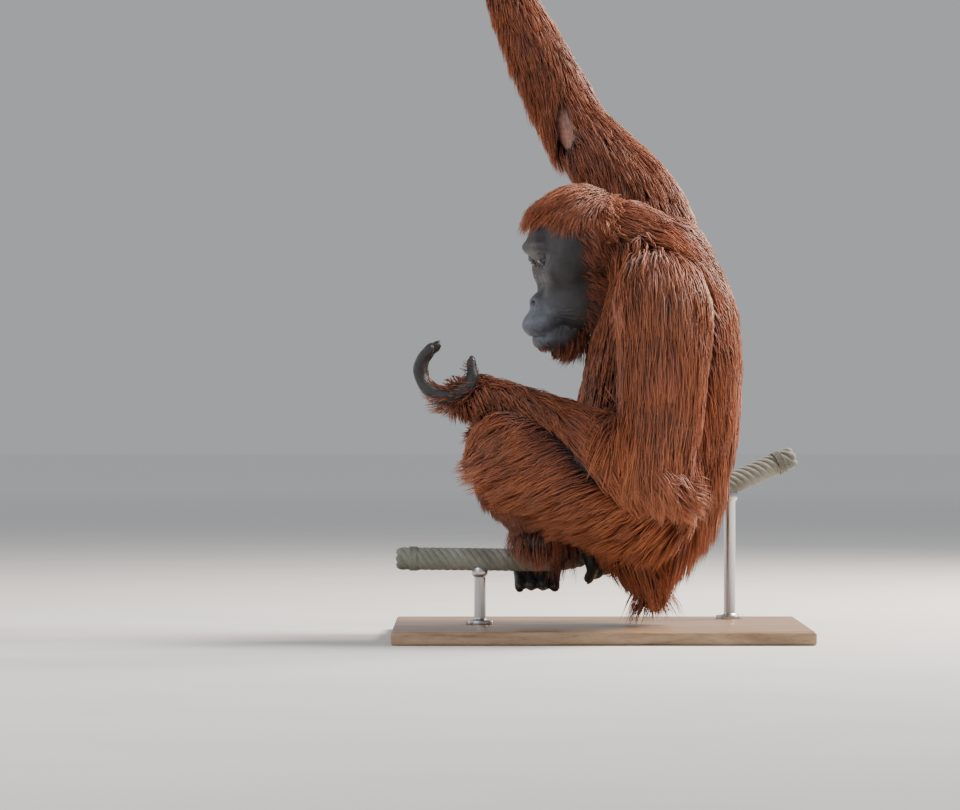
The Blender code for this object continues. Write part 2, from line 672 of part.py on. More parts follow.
# Rows of locks on each length: share along it, how many, first and last angle round it in degrees,
# how far each runs along the length (less than 0 towards its start), how far its tip hangs, and its half width.
# On the torso angle 90 faces forward and 180 faces left; on an arm that hangs, 90 faces back.
LOCK_ROWS = {
    "torso": [
        (0.93, 4, 215, 325, -0.120, 0.010, 0.030),
        (0.76, 5, 190, 350, -0.125, 0.012, 0.031),
        (0.58, 6, 190, 365, -0.125, 0.012, 0.031),
        (0.40, 6, 180, 350, -0.125, 0.014, 0.031),
        (0.24, 6, 190, 350, -0.115, 0.018, 0.029),
        (0.08, 5, 200, 340, -0.075, 0.024, 0.024),
    ],
    "neck": [
        (0.36, 4, 190, 350, -0.080, 0.008, 0.026),
    ],
    "upper_arm_left": [
        (0.10, 4, 60, 260, 0.130, 0.000, 0.030),
        (0.33, 4, 45, 285, 0.140, 0.000, 0.031),
        (0.57, 4, 60, 300, 0.140, 0.004, 0.030),
        (0.80, 4, 45, 270, 0.130, 0.014, 0.027),
        (0.95, 3, 70, 230, 0.060, 0.055, 0.022),
    ],
    "forearm_left": [
        (0.66, 3, 60, 240, -0.095, 0.010, 0.021),
        (0.34, 3, 60, 300, -0.085, 0.014, 0.021),
    ],
    "upper_arm_right": [
        (0.90, 4, 30, 330, -0.095, 0.004, 0.023),
        (0.66, 4, 0, 330, -0.110, 0.006, 0.027),
        (0.42, 4, 30, 350, -0.110, 0.006, 0.029),
        (0.20, 2, 230, 330, -0.075, 0.004, 0.028),
    ],
    "forearm_right": [
        (0.86, 3, 20, 320, -0.095, 0.000, 0.021),
        (0.58, 4, 0, 330, -0.100, 0.000, 0.023),
        (0.28, 4, 40, 330, -0.095, 0.020, 0.024),
    ],
    "thigh_left": [
        (0.32, 3, 110, 230, 0.095, 0.010, 0.026),
        (0.58, 3, 110, 260, 0.090, 0.012, 0.025),
        (0.80, 3, 80, 240, 0.065, 0.014, 0.022),
    ],
    "shin_left": [
        (0.16, 3, 130, 310, 0.075, 0.010, 0.022),
        (0.46, 3, 110, 290, 0.065, 0.012, 0.020),
    ],
    "thigh_right": [
        (0.38, 3, 300, 420, 0.090, 0.010, 0.026),
        (0.68, 3, 290, 420, 0.080, 0.014, 0.024),
    ],
    "shin_right": [
        (0.18, 3, 250, 420, 0.075, 0.010, 0.021),
    ],
}
LOCK_ROOT, LOCK_THICK = 0.008, 0.0055
LOCK_SHARES = (0.0, 0.34, 0.70)
LOCK_WIDTHS = (0.80, 1.0, 0.72)
LOCK_HEIGHTS = (1.0, 0.9, 0.6)
LOCK_RAISES = (0.0, 0.68, 0.90, 1.15)


class Surface:
    """Finds points on a length's core from a share along it and an angle round it, as loft lays them."""

    def __init__(self, facts):
        points = with_coat(facts["points"], facts["depth"])
        self.rows = spline(points, 60)
        self.length = float(np.linalg.norm(np.diff(self.rows[:, :3], axis=0), axis=1).sum())
        self.depth = facts["depth"]

    def at(self, share, angle):
        place = min(max(share, 0.0), 1.0) * 59
        i = min(int(place), 58)
        row = self.rows[i] + (self.rows[i + 1] - self.rows[i]) * (place - i)
        tangent = Vector(self.rows[i + 1][:3] - self.rows[i][:3]).normalized()
        side = (ACROSS - tangent * tangent.dot(ACROSS)).normalized()
        out = tangent.cross(side)
        a = math.radians(angle)
        reach = side * row[3] * math.cos(a) + out * row[4] * math.sin(a)
        normal = (side * math.cos(a) / row[3] + out * math.sin(a) / row[4]).normalized()
        beyond = tangent * (share - min(max(share, 0.0), 1.0)) * self.length
        return Vector(row[:3]) + reach + beyond, normal


def lock(line, normals, half_width, extra=0.0):
    """A flat lock along a line: three rings of an underside and a low ridge, narrowing to a point."""
    verts, faces = [], []
    for i in range(3):
        tangent = (line[i + 1] - line[max(i - 1, 0)]).normalized()
        across = tangent.cross(normals[i]).normalized()
        raised = across.cross(tangent)
        wide = half_width * LOCK_WIDTHS[i]
        thick = LOCK_THICK * LOCK_HEIGHTS[i]
        under = line[i] - raised * thick * 0.4
        verts += [under + across * wide, line[i] + raised * thick * 1.2, under - across * wide]
    for i in range(2):
        for k in range(3):
            a, b = i * 3 + k, i * 3 + (k + 1) % 3
            faces.append((a, b, b + 3, a + 3))
    verts.append(line[3])
    faces += [(6 + k, 6 + (k + 1) % 3, 9) for k in range(3)]
    faces.append((2, 1, 0))
    made = mesh_object("lock", verts, faces)
    outward(made)
    if extra:
        widen(made, extra)
    return made


def widen(obj, extra):
    """Moves every face outwards by extra, so that the shape before lies inside."""
    work = bmesh.new()
    work.from_mesh(obj.data)
    work.normal_update()
    moves = [v.normal * extra * min(v.calc_shell_factor(), 5) for v in work.verts]
    for vert, move in zip(work.verts, moves):
        vert.co += move
    work.to_mesh(obj.data)
    work.free()


def row_locks(name, draw):
    """Lines, normals and half widths of a length's locks, laid along its coat and hanging at their tips."""
    surface = Surface(LENGTHS[name])
    tip_raise = surface.depth * (1 - COAT_CORE)
    for share, count, first, last, run, hang, half_width in LOCK_ROWS[name]:
        for k in range(count):
            angle = first + (last - first) * (k + 0.5) / count + draw.uniform(-7, 7)
            start = share + draw.uniform(-0.025, 0.025)
            length = run * draw.uniform(0.85, 1.15) / surface.length
            swing = draw.uniform(-12, 12)
            wide = half_width * draw.uniform(0.85, 1.15)
            line, normals = [], []
            for part, raised in zip((*LOCK_SHARES, 1.0), LOCK_RAISES):
                point, normal = surface.at(start + length * part, angle + swing * part)
                height = -LOCK_ROOT + (LOCK_ROOT + tip_raise) * raised
                line.append(point + normal * height + DOWN * hang * part**2)
                normals.append(normal)
            yield line, normals, wide


# Locks of the cap of hair: turn round the head from the face in degrees, then the height of the root
# and of the tip as angles above level, from the crown out over the brow and down over the temples
CAP_LOCKS = [
    (-20, 80, 46),
    (22, 80, 46),
    (54, 74, 38),
    (-54, 74, 38),
    (100, 64, 22),
    (-100, 64, 22),
    (38, 60, 38),
    (-38, 60, 38),
]
CAP_LOCK_HALF, CAP_LOCK_LIFT = 0.020, 0.003


def head_locks(draw):
    start = np.array(HEAD_RAYS_FROM)
    for turn, high, low in CAP_LOCKS:
        line, normals = [], []
        turn += draw.uniform(-5, 5)
        for part, raised in zip((*LOCK_SHARES, 1.0), LOCK_RAISES):
            a, e = math.radians(turn), math.radians(high + (low - high) * part)
            way = np.array((-math.cos(e) * math.cos(a), math.cos(e) * math.sin(a), math.sin(e)))
            reach = head_radius(way[None, :])[0] + HEAD_CAP * COAT_CORE
            height = -LOCK_ROOT + (LOCK_ROOT + HEAD_CAP * (1 - COAT_CORE) + CAP_LOCK_LIFT) * raised
            line.append(head_turned(start + way * (reach + height)))
            normals.append((HEAD_MATRIX.to_3x3() @ Vector(way)).normalized())
        yield line, normals, CAP_LOCK_HALF * draw.uniform(0.85, 1.15)


def locks_of(name, extra=0.0):
    draw = random.Random(name)
    if name == "head":
        return [lock(*facts, extra) for facts in head_locks(draw)]
    if name in LOCK_ROWS:
        return [lock(*facts, extra) for facts in row_locks(name, draw)]
    return []


def length_core(name, extra=0.0):
    facts = LENGTHS[name]
    return loft(name, with_coat(facts["points"], facts["depth"]), facts["rings"], facts["sides"], extra=extra)


def core(name, extra=0.0):
    """Any node before its coat, widened by extra."""
    special = {
        "stand_base": base,
        "stand_rod_front": rod,
        "stand_rod_back": rod,
        "perch_rope": seat_rope,
        "perch_rope_upper": held_rope,
        "hand_left": hand_left,
        "hand_right": hand_right,
        "foot_left": foot_left,
        "foot_right": foot_right,
        "head": head_core,
    }
    if name in special:
        return special[name](name, extra=extra)
    if name.startswith("eye"):
        return eye(name, -1 if name.endswith("left") else 1, extra)
    if name.startswith("ear"):
        return ear(name, -1 if name.endswith("left") else 1, extra)
    return length_core(name, extra)


# Each node is cut clear of those named before it
ORDER = [
    "stand_base", "perch_rope", "perch_rope_upper", "stand_rod_front", "stand_rod_back",
    "eye_left", "eye_right", "torso", "neck", "head", "ear_left", "ear_right",
    "upper_arm_left", "upper_arm_right", "thigh_left", "thigh_right",
    "forearm_left", "forearm_right", "shin_left", "shin_right",
    "hand_left", "hand_right", "foot_left", "foot_right",
]


def build():
    for obj in list(bpy.data.objects):
        bpy.data.objects.remove(obj)
    rooms = {name: Room(core(name, GAP)) for name in ORDER}
    lock_rooms = {name: [Room(piece) for piece in locks_of(name, LOCK_GAP)] for name in ORDER}
    for i, name in enumerate(ORDER):
        node = core(name)
        cuts = []
        if name == "head":
            joins, cuts = head_details()
            joined(node, joins)
        cut_clear(node, [rooms[other] for other in ORDER[:i]], cuts)
        coat = locks_of(name)
        earlier_locks = [room for other in ORDER[:i] for room in lock_rooms[other]]
        others = [rooms[other] for other in ORDER if other != name] + earlier_locks
        kept = [piece for piece in coat if cut_clear(piece, others).data.polygons]
        for piece in set(coat) - set(kept):
            bpy.data.objects.remove(piece)
        joined(node, kept)
        largest_surface(node)
        node.name = name
    for room in [*rooms.values(), *(room for group in lock_rooms.values() for room in group)]:
        bpy.data.objects.remove(room.obj)


build()
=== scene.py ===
# A still, life-size orangutan on a cut length of rope: skin, coat, rope, stand, light and camera
# Metres, +Z up. The animal faces -X and its left side faces -Y.
import math
import time

import bpy
import numpy as np
from mathutils import Matrix, Vector
from mathutils.bvhtree import BVHTree
from mathutils.kdtree import KDTree


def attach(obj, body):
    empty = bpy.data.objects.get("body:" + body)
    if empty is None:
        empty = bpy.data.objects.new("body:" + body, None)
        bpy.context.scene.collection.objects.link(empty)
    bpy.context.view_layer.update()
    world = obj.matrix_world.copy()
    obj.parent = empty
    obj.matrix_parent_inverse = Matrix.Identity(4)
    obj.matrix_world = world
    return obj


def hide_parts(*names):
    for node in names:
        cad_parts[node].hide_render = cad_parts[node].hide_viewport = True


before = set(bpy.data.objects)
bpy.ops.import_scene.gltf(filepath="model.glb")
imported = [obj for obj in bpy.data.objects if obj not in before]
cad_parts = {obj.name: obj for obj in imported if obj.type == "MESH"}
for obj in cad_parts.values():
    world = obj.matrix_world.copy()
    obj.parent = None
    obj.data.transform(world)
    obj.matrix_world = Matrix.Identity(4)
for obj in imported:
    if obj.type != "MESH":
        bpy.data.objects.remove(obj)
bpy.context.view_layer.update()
startTime = time.time()


def tell(text):
    print(f"{time.time() - startTime:6.1f} s  {text}")


# Small tools for working as in the viewport

def deselectAll():
    active = bpy.context.view_layer.objects.active
    if active and active.mode != "OBJECT":
        bpy.ops.object.mode_set(mode="OBJECT")
    bpy.ops.object.select_all(action="DESELECT")


def activeOnly(obj):
    deselectAll()
    obj.select_set(True)
    bpy.context.view_layer.objects.active = obj
    return obj


def applyModifier(obj, kind, **values):
    activeOnly(obj)
    made = obj.modifiers.new(kind.lower(), kind)
    for key, value in values.items():
        setattr(made, key, value)
    bpy.ops.object.modifier_apply(modifier=made.name)
    return obj


def settle(obj, name):
    activeOnly(obj)  # the place, turn and size go into the mesh
    bpy.ops.object.transform_apply(location=True, rotation=True, scale=True)
    obj.name = name
    obj.data.name = name
    return obj


def joinAll(objs, name):
    activeOnly(objs[0])
    for obj in objs:
        obj.select_set(True)
    bpy.ops.object.join()
    objs[0].name = name
    objs[0].data.name = name
    return objs[0]


def readPoints(obj):
    points = np.empty(len(obj.data.vertices) * 3, np.float32)
    obj.data.vertices.foreach_get("co", points)
    return points.reshape(-1, 3).astype(float)


def writePoints(obj, points):
    obj.data.vertices.foreach_set("co", np.ascontiguousarray(points, np.float32).ravel())
    obj.data.update()


def writeFloats(obj, name, values):
    made = obj.data.attributes.new(name, "FLOAT", "POINT")
    made.data.foreach_set("value", np.ascontiguousarray(values, np.float32))


def unit(vectors):
    return vectors / (np.linalg.norm(vectors, axis=-1, keepdims=True) + 1e-12)


def smoothStep(values, low, high):
    t = np.clip((values - low) / (high - low), 0, 1)
    return t * t * (3 - 2 * t)


def spline(points, count):
    rows = [np.array(p, float) for p in points]  # Catmull-Rom, then spread evenly
    rows = [2 * rows[0] - rows[1], *rows, 2 * rows[-1] - rows[-2]]
    spans = len(points) - 1
    fine = []
    for i in range(spans * 16 + 1):
        span = min(i // 16, spans - 1)
        t = i / 16 - span
        a, b, c, d = rows[span : span + 4]
        cubed = 3 * b - a - 3 * c + d
        fine.append(0.5 * (2 * b + (c - a) * t + (2 * a - 5 * b + 4 * c - d) * t**2 + cubed * t**3))
    fine = np.array(fine)
    steps = np.linalg.norm(np.diff(fine[:, :3], axis=0), axis=1)
    along = np.concatenate([[0], np.cumsum(steps)])
    wanted = np.linspace(0, along[-1], count)
    return np.array([np.interp(wanted, along, fine[:, k]) for k in range(fine.shape[1])]).T


def drawnOut(rows, rings=24, sides=24, hint=(0, 1, 0), dome=3, relief=None):
    # A sphere drawn out along a limb: rows are x, y, z, half width and half depth
    total = rings + 2 * dome
    deselectAll()
    bpy.ops.mesh.primitive_uv_sphere_add(segments=sides, ring_count=total)
    obj = bpy.context.object
    ball = readPoints(obj)
    level = np.arccos(np.clip(-ball[:, 2], -1, 1)) / math.pi * total
    turn = np.arctan2(ball[:, 1], ball[:, 0])
    path = spline(rows, rings + 1)
    ahead = unit(np.gradient(path[:, :3], axis=0))
    side = unit(np.array(hint, float) - ahead * (ahead @ np.array(hint, float))[:, None])
    out = np.cross(ahead, side)
    place = np.clip(np.round(level) - dome, 0, rings).astype(int)
    beyond = np.clip(dome - level, 0, dome) - np.clip(level - (total - dome), 0, dome)
    swell = beyond / dome * math.pi / 2
    ring = path[place]
    reach = (np.cos(swell) * (relief(place, turn) if relief else 1))[:, None]
    points = ring[:, :3] + side[place] * (ring[:, 3] * np.cos(turn))[:, None] * reach
    points += out[place] * (ring[:, 4] * np.sin(turn))[:, None] * reach
    points -= ahead[place] * (np.minimum(ring[:, 3], ring[:, 4]) * np.sin(swell))[:, None]
    writePoints(obj, points)
    return obj


# Body: points of each length as x, y, z, half width and half depth of the skin
bodyValues = {
    "middleY": -0.04,
    "skinVoxel": 0.0085,
    "handVoxel": 0.0027,
}
middleY = bodyValues["middleY"]
lengths = {
    "torso": [
        (0.052, middleY, 0.172, 0.082, 0.064), (0.062, middleY, 0.220, 0.116, 0.088),
        (0.074, middleY, 0.300, 0.128, 0.103), (0.086, middleY, 0.400, 0.132, 0.099),
        (0.090, middleY, 0.475, 0.130, 0.090), (0.084, middleY, 0.530, 0.112, 0.074),
        (0.072, middleY, 0.560, 0.088, 0.056),
    ],
    "neck": [
        (0.082, middleY, 0.556, 0.064, 0.060), (0.054, middleY, 0.586, 0.056, 0.052),
        (0.022, middleY, 0.596, 0.050, 0.048),
    ],
    "upperArmLeft": [
        (0.084, -0.132, 0.522, 0.050, 0.050), (0.090, -0.172, 0.490, 0.052, 0.052),
        (0.090, -0.196, 0.415, 0.047, 0.047), (0.084, -0.208, 0.335, 0.041, 0.043),
        (0.074, -0.215, 0.262, 0.038, 0.040),
    ],
    "forearmLeft": [
        (0.074, -0.215, 0.262, 0.040, 0.041), (0.000, -0.197, 0.285, 0.041, 0.042),
        (-0.105, -0.162, 0.330, 0.033, 0.034), (-0.200, -0.130, 0.368, 0.026, 0.021),
    ],
    "upperArmRight": [
        (0.090, 0.050, 0.556, 0.055, 0.055), (0.086, 0.085, 0.612, 0.053, 0.053),
        (0.060, 0.125, 0.676, 0.046, 0.046), (0.016, 0.180, 0.728, 0.040, 0.041),
        (-0.030, 0.235, 0.782, 0.036, 0.038),
    ],
    "forearmRight": [
        (-0.030, 0.235, 0.782, 0.037, 0.039), (-0.074, 0.226, 0.862, 0.036, 0.038),
        (-0.123, 0.208, 0.960, 0.030, 0.031), (-0.164, 0.194, 1.052, 0.025, 0.021),
    ],
    "thighLeft": [
        (0.060, -0.110, 0.220, 0.080, 0.074), (-0.010, -0.150, 0.243, 0.068, 0.066),
        (-0.085, -0.180, 0.268, 0.054, 0.054), (-0.140, -0.195, 0.286, 0.043, 0.045),
    ],
    "shinLeft": [
        (-0.140, -0.195, 0.286, 0.042, 0.042), (-0.130, -0.160, 0.252, 0.043, 0.044),
        (-0.108, -0.105, 0.212, 0.034, 0.036), (-0.092, -0.066, 0.180, 0.027, 0.028),
    ],
    "thighRight": [
        (0.060, 0.035, 0.235, 0.076, 0.070), (-0.010, 0.070, 0.268, 0.066, 0.062),
        (-0.080, 0.100, 0.298, 0.053, 0.052), (-0.135, 0.120, 0.320, 0.043, 0.045),
    ],
    "shinRight": [
        (-0.135, 0.120, 0.320, 0.042, 0.042), (-0.108, 0.108, 0.275, 0.043, 0.043),
        (-0.055, 0.078, 0.222, 0.034, 0.035), (-0.018, 0.052, 0.188, 0.027, 0.028),
    ],
}


def makeBody():
    pieces = [drawnOut(rows, rings=20, sides=28) for rows in lengths.values()]
    body = joinAll(pieces, "body")
    applyModifier(body, "REMESH", mode="VOXEL", voxel_size=bodyValues["skinVoxel"], use_smooth_shade=True)
    applyModifier(body, "SMOOTH", factor=0.5, iterations=8)
    return body


# Head: masses in its own frame, facing -X, as centre and half sizes; those off the middle are on both sides
headValues = {
    "place": (-0.038, middleY, 0.598),
    "nod": 19,
    "turn": 14,
    "blend": 0.011,
    "raysFrom": (-0.016, 0.000, -0.036),
    "eyePlace": (-0.0585, 0.0240, -0.0085),
    "eyeRadius": 0.0115,
    "earPlace": (0.016, 0.064, -0.014),
    "earHalfHeight": 0.020,
    "segments": 236,
    "rings": 172,
}
headMasses = {
    "cranium": ((0.006, 0.000, 0.014), (0.070, 0.063, 0.060)),
    "temple": ((-0.004, 0.034, -0.014), (0.052, 0.031, 0.046)),
    "brow": ((-0.058, 0.021, 0.010), (0.017, 0.024, 0.011)),
    "browMiddle": ((-0.058, 0.000, 0.008), (0.015, 0.018, 0.011)),
    "cheekbone": ((-0.040, 0.042, -0.034), (0.026, 0.018, 0.030)),
    "noseBridge": ((-0.054, 0.000, -0.032), (0.013, 0.009, 0.034)),
    "underEye": ((-0.054, 0.022, -0.034), (0.014, 0.018, 0.014)),
    "cheek": ((-0.046, 0.027, -0.066), (0.026, 0.020, 0.028)),
    "upperJaw": ((-0.058, 0.000, -0.086), (0.038, 0.036, 0.032)),
    "nose": ((-0.081, 0.000, -0.069), (0.011, 0.0155, 0.009)),
    "upperLip": ((-0.090, 0.000, -0.100), (0.028, 0.036, 0.020)),
    "lowerLip": ((-0.086, 0.000, -0.128), (0.024, 0.030, 0.013)),
    "chin": ((-0.062, 0.000, -0.132), (0.035, 0.032, 0.020)),
    "jaw": ((-0.024, 0.036, -0.086), (0.044, 0.021, 0.044)),
    "throat": ((0.004, 0.000, -0.086), (0.054, 0.046, 0.044)),
}
headMatrix = (
    Matrix.Translation(headValues["place"])
    @ Matrix.Rotation(math.radians(headValues["turn"]), 4, "Z")
    @ Matrix.Rotation(-math.radians(headValues["nod"]), 4, "Y")
)
headTurn = np.array(headMatrix.to_3x3())
headShift = np.array(headMatrix.translation)


def toHead(points):
    return (points - headShift) @ headTurn


def fromHead(points):
    return points @ headTurn.T + headShift


def headField(points):
    total = np.zeros(len(points))  # below 0 inside: the masses blended by a soft minimum
    blend = headValues["blend"] / 2.2
    for (x, y, z), sizes in headMasses.values():
        for side in (-1, 1) if y else (1,):
            away = points - np.array((x, y * side, z))
            sizes = np.array(sizes)
            scaled = np.linalg.norm(away / sizes, axis=1)
            gradient = np.linalg.norm(away / sizes**2, axis=1) + 1e-9
            total += np.exp(-scaled * (scaled - 1) / gradient / blend)
    return -np.log(total + 1e-30) * blend


def headReach(directions, start=None):
    start = np.array(headValues["raysFrom"] if start is None else start)
    low, high = np.full(len(directions), 0.01), np.full(len(directions), 0.17)
    for _ in range(22):
        middle = (low + high) / 2
        inside = headField(start + directions * middle[:, None]) < 0
        low, high = np.where(inside, middle, low), np.where(inside, high, middle)
    return low


# Folds of the face: each is a place across and up the face, with its width, height and depth
faceValues = {
    "nostrilPlace": (0.0088, -0.0720),
    "nostrilSize": (0.0046, 0.0048),
    "nostrilDepth": 0.0095,
    "wingPlace": (0.0105, -0.0685),
    "wingSize": 0.0070,
    "wingHeight": 0.0022,
    "mouthHeight": -0.1172,
    "mouthHalf": 0.0400,
    "mouthDroop": 0.0085,
    "mouthWidth": 0.0013,
    "mouthDepth": 0.0034,
    "lipRoll": 0.0009,
    "lipWrinkle": 0.00028,
    "bagDepth": 0.0011,
}


def hill(distance, width):
    return np.exp(-((distance / width) ** 2))


def mouthLine(y):
    v = faceValues
    return v["mouthHeight"] - v["mouthDroop"] * (np.abs(y) / v["mouthHalf"]) ** 2


def faceRelief(points):
    # How far each point of the head moves out along its ray
    v = faceValues
    x, y, z = points.T
    front = smoothStep(-x, 0.020, 0.045)
    side = np.abs(y)
    moved = np.zeros(len(points))
    nostril = np.hypot((side - v["nostrilPlace"][0]) / v["nostrilSize"][0],
                       (z - v["nostrilPlace"][1] + 0.25 * (side - v["nostrilPlace"][0])) / v["nostrilSize"][1])
    moved -= v["nostrilDepth"] * np.exp(-nostril**4) * (x < -0.06)
    wing = np.hypot(side - v["wingPlace"][0], z - v["wingPlace"][1])
    moved += v["wingHeight"] * hill(wing - v["wingSize"], 0.0022) * (x < -0.06)
    fromMouth = z - mouthLine(y)
    inMouth = smoothStep(-side, -v["mouthHalf"], -v["mouthHalf"] * 0.8) * (x < -0.045)
    moved -= v["mouthDepth"] * hill(fromMouth, v["mouthWidth"]) * inMouth
    moved += v["lipRoll"] * (hill(fromMouth - 0.0034, 0.0022) + hill(fromMouth + 0.0034, 0.0022)) * inMouth
    fan = np.sin(np.arctan2(y, z + 0.062) * 58 + 1.2 * np.sin(z * 260))
    lipArea = smoothStep(-z, 0.080, 0.095) * smoothStep(z, -0.140, -0.128) * (x < -0.05)
    moved += v["lipWrinkle"] * fan * lipArea * front
    moved -= 0.0007 * hill(y, 0.0016) * lipArea * (z > v["mouthHeight"])
    fold = np.abs(side - 0.020 - 0.42 * (-0.066 - z))
    moved -= 0.0013 * hill(fold, 0.0022) * smoothStep(-z, 0.062, 0.072) * smoothStep(z, -0.122, -0.105) * front
    eye = headValues["eyePlace"]
    below = np.hypot(side - eye[1], (z - eye[2]) * 1.05)
    under = smoothStep(eye[2] + 0.003 - z, 0.0, 0.008) * front
    for ring, depth in ((0.0165, 1.0), (0.0215, 0.8), (0.0270, 0.5)):
        moved -= v["bagDepth"] * depth * hill(below - ring, 0.0013) * under
        moved += v["bagDepth"] * depth * 0.6 * hill(below - ring + 0.0026, 0.0016) * under
    over = smoothStep(z - eye[2], 0.0, 0.006) * front
    for ring, depth in ((0.0160, 0.7), (0.0200, 0.9)):
        moved -= v["bagDepth"] * depth * hill(below - ring, 0.0012) * over
    bridge = hill(side, 0.010) * smoothStep(z, -0.022, -0.006) * smoothStep(-z, -0.016, -0.004) * front
    moved += 0.0006 * np.sin(z * 1900) * bridge
    moved += 0.00035 * np.sin(z * 1500 + 6 * np.sin(y * 90)) * smoothStep(z, 0.004, 0.014) * front
    return moved


def makeHead():
    v = headValues
    deselectAll()
    bpy.ops.mesh.primitive_uv_sphere_add(segments=v["segments"], ring_count=v["rings"])
    head = bpy.context.object
    ball = readPoints(head)
    share = np.arccos(np.clip(ball[:, 2], -1, 1)) / math.pi
    polar = np.radians(np.interp(share, (0, 0.12, 0.92, 1), (0, 62, 158, 180)))
    turn = np.arctan2(ball[:, 1], ball[:, 0])
    turn = turn + 0.45 * np.sin(turn)
    rays = np.stack([np.sin(polar) * np.cos(turn), np.sin(polar) * np.sin(turn), np.cos(polar)], axis=1)
    points = np.array(v["raysFrom"]) + rays * headReach(rays)[:, None]
    points += rays * faceRelief(points)[:, None]
    writePoints(head, fromHead(points))
    return head


# Lids: the upper one heavy and low, as on an animal that looks down
lidValues = {
    "thickness": 0.0018,
    "halfSwing": 80,
    "slitDrop": -12,
    "slitSag": 5,
    "slitHalf": 9,
}


def makeLid(side, upper):
    v = lidValues
    radius = headValues["eyeRadius"] + 0.0005
    deselectAll()
    bpy.ops.mesh.primitive_grid_add(x_subdivisions=28, y_subdivisions=12, size=2)
    lid = bpy.context.object
    flat = readPoints(lid)
    across, up = flat[:, 0], (flat[:, 1] + 1) / 2
    swing = np.radians(across * v["halfSwing"])
    corner = np.sqrt(np.clip(1 - across**2, 0, 1))
    centre = v["slitDrop"] - v["slitSag"] * corner
    edge = centre + (v["slitHalf"] if upper else -v["slitHalf"]) * 0.5 * corner
    far = 64 if upper else -70
    rise = np.radians(edge + (far - edge) * up)
    fold = 0.0007 * hill(up - 0.16, 0.07) - 0.0008 * hill(up - 0.42, 0.06) + 0.0006 * hill(up - 0.60, 0.09)
    reach = radius + (0.0011 * np.sin(np.pi * up) if upper else 0.0004) + fold - 0.0030 * smoothStep(up, 0.75, 1.0)
    reach = reach - 0.0008 * np.abs(across) ** 6
    ways = np.stack([-np.cos(swing) * np.cos(rise), np.sin(swing) * np.cos(rise), np.sin(rise)], axis=1)
    eye = np.array(headValues["eyePlace"]) * (1, side, 1)
    writePoints(lid, fromHead(eye + ways * reach[:, None]))
    if not upper:
        activeOnly(lid)
        bpy.ops.object.mode_set(mode="EDIT")
        bpy.ops.mesh.select_all(action="SELECT")
        bpy.ops.mesh.flip_normals()
        bpy.ops.object.mode_set(mode="OBJECT")
    applyModifier(lid, "SOLIDIFY", thickness=v["thickness"], offset=1)
    return lid


def makeEye(name, side):
    deselectAll()
    place = headMatrix @ Vector((headValues["eyePlace"][0], headValues["eyePlace"][1] * side, headValues["eyePlace"][2]))
    bpy.ops.mesh.primitive_uv_sphere_add(segments=40, ring_count=28, radius=headValues["eyeRadius"], location=place)
    eye = settle(bpy.context.object, name)
    away = unit(toHead(readPoints(eye)) - toHead(np.array(place)[None, :]))
    gaze = unit(np.array((-1, 0.0, -0.34)))
    angle = np.degrees(np.arccos(np.clip(away @ gaze, -1, 1)))
    bulge = 0.0007 * smoothStep(-angle, -34, -20)
    writePoints(eye, readPoints(eye) + fromHead(away * bulge[:, None]) - headShift)
    writeFloats(eye, "gaze", angle / 90)
    bpy.ops.object.shade_smooth()
    return eye


def makeEar(side):
    # A small flat cup with a rolled rim and an inner ridge, set close to the head
    size = headValues["earHalfHeight"]
    deselectAll()
    bpy.ops.mesh.primitive_circle_add(vertices=40, radius=1, fill_type="TRIFAN")
    ear = activeOnly(bpy.context.object)
    bpy.ops.object.mode_set(mode="EDIT")
    bpy.ops.mesh.select_all(action="SELECT")
    bpy.ops.mesh.subdivide(number_cuts=5)
    bpy.ops.object.mode_set(mode="OBJECT")
    flat = readPoints(ear)
    reach = np.hypot(flat[:, 0], flat[:, 1])
    turn = np.arctan2(flat[:, 1], flat[:, 0])
    rim = 0.0060 * hill(reach - 0.93, 0.10) - 0.0035 * smoothStep(reach, 0.96, 1.0)
    ridge = 0.0028 * hill(reach - 0.60 - 0.06 * np.sin(turn * 2), 0.09) * smoothStep(np.sin(turn), -0.6, 0.3)
    cup = -0.0030 * hill(reach - 0.25, 0.22)
    lobe = 1 - 0.10 * hill(turn + math.pi / 2, 0.5)
    local = np.stack([flat[:, 0] * 0.72 * size * lobe, 0.0005 + rim + ridge + cup, flat[:, 1] * size * lobe], axis=1)
    lean = np.array(Matrix.Rotation(math.radians(-28), 3, "Z"))
    local = local @ lean.T + np.array(headValues["earPlace"])
    writePoints(ear, fromHead(local * (1, side, 1)))
    applyModifier(ear, "SOLIDIFY", thickness=0.0028, offset=-1 if side < 0 else 1)
    applyModifier(ear, "SMOOTH", factor=0.5, iterations=2)
    activeOnly(ear)
    bpy.ops.object.mode_set(mode="EDIT")
    bpy.ops.mesh.select_all(action="SELECT")
    bpy.ops.mesh.normals_make_consistent(inside=False)
    bpy.ops.object.mode_set(mode="OBJECT")
    bpy.ops.object.shade_smooth()
    return ear


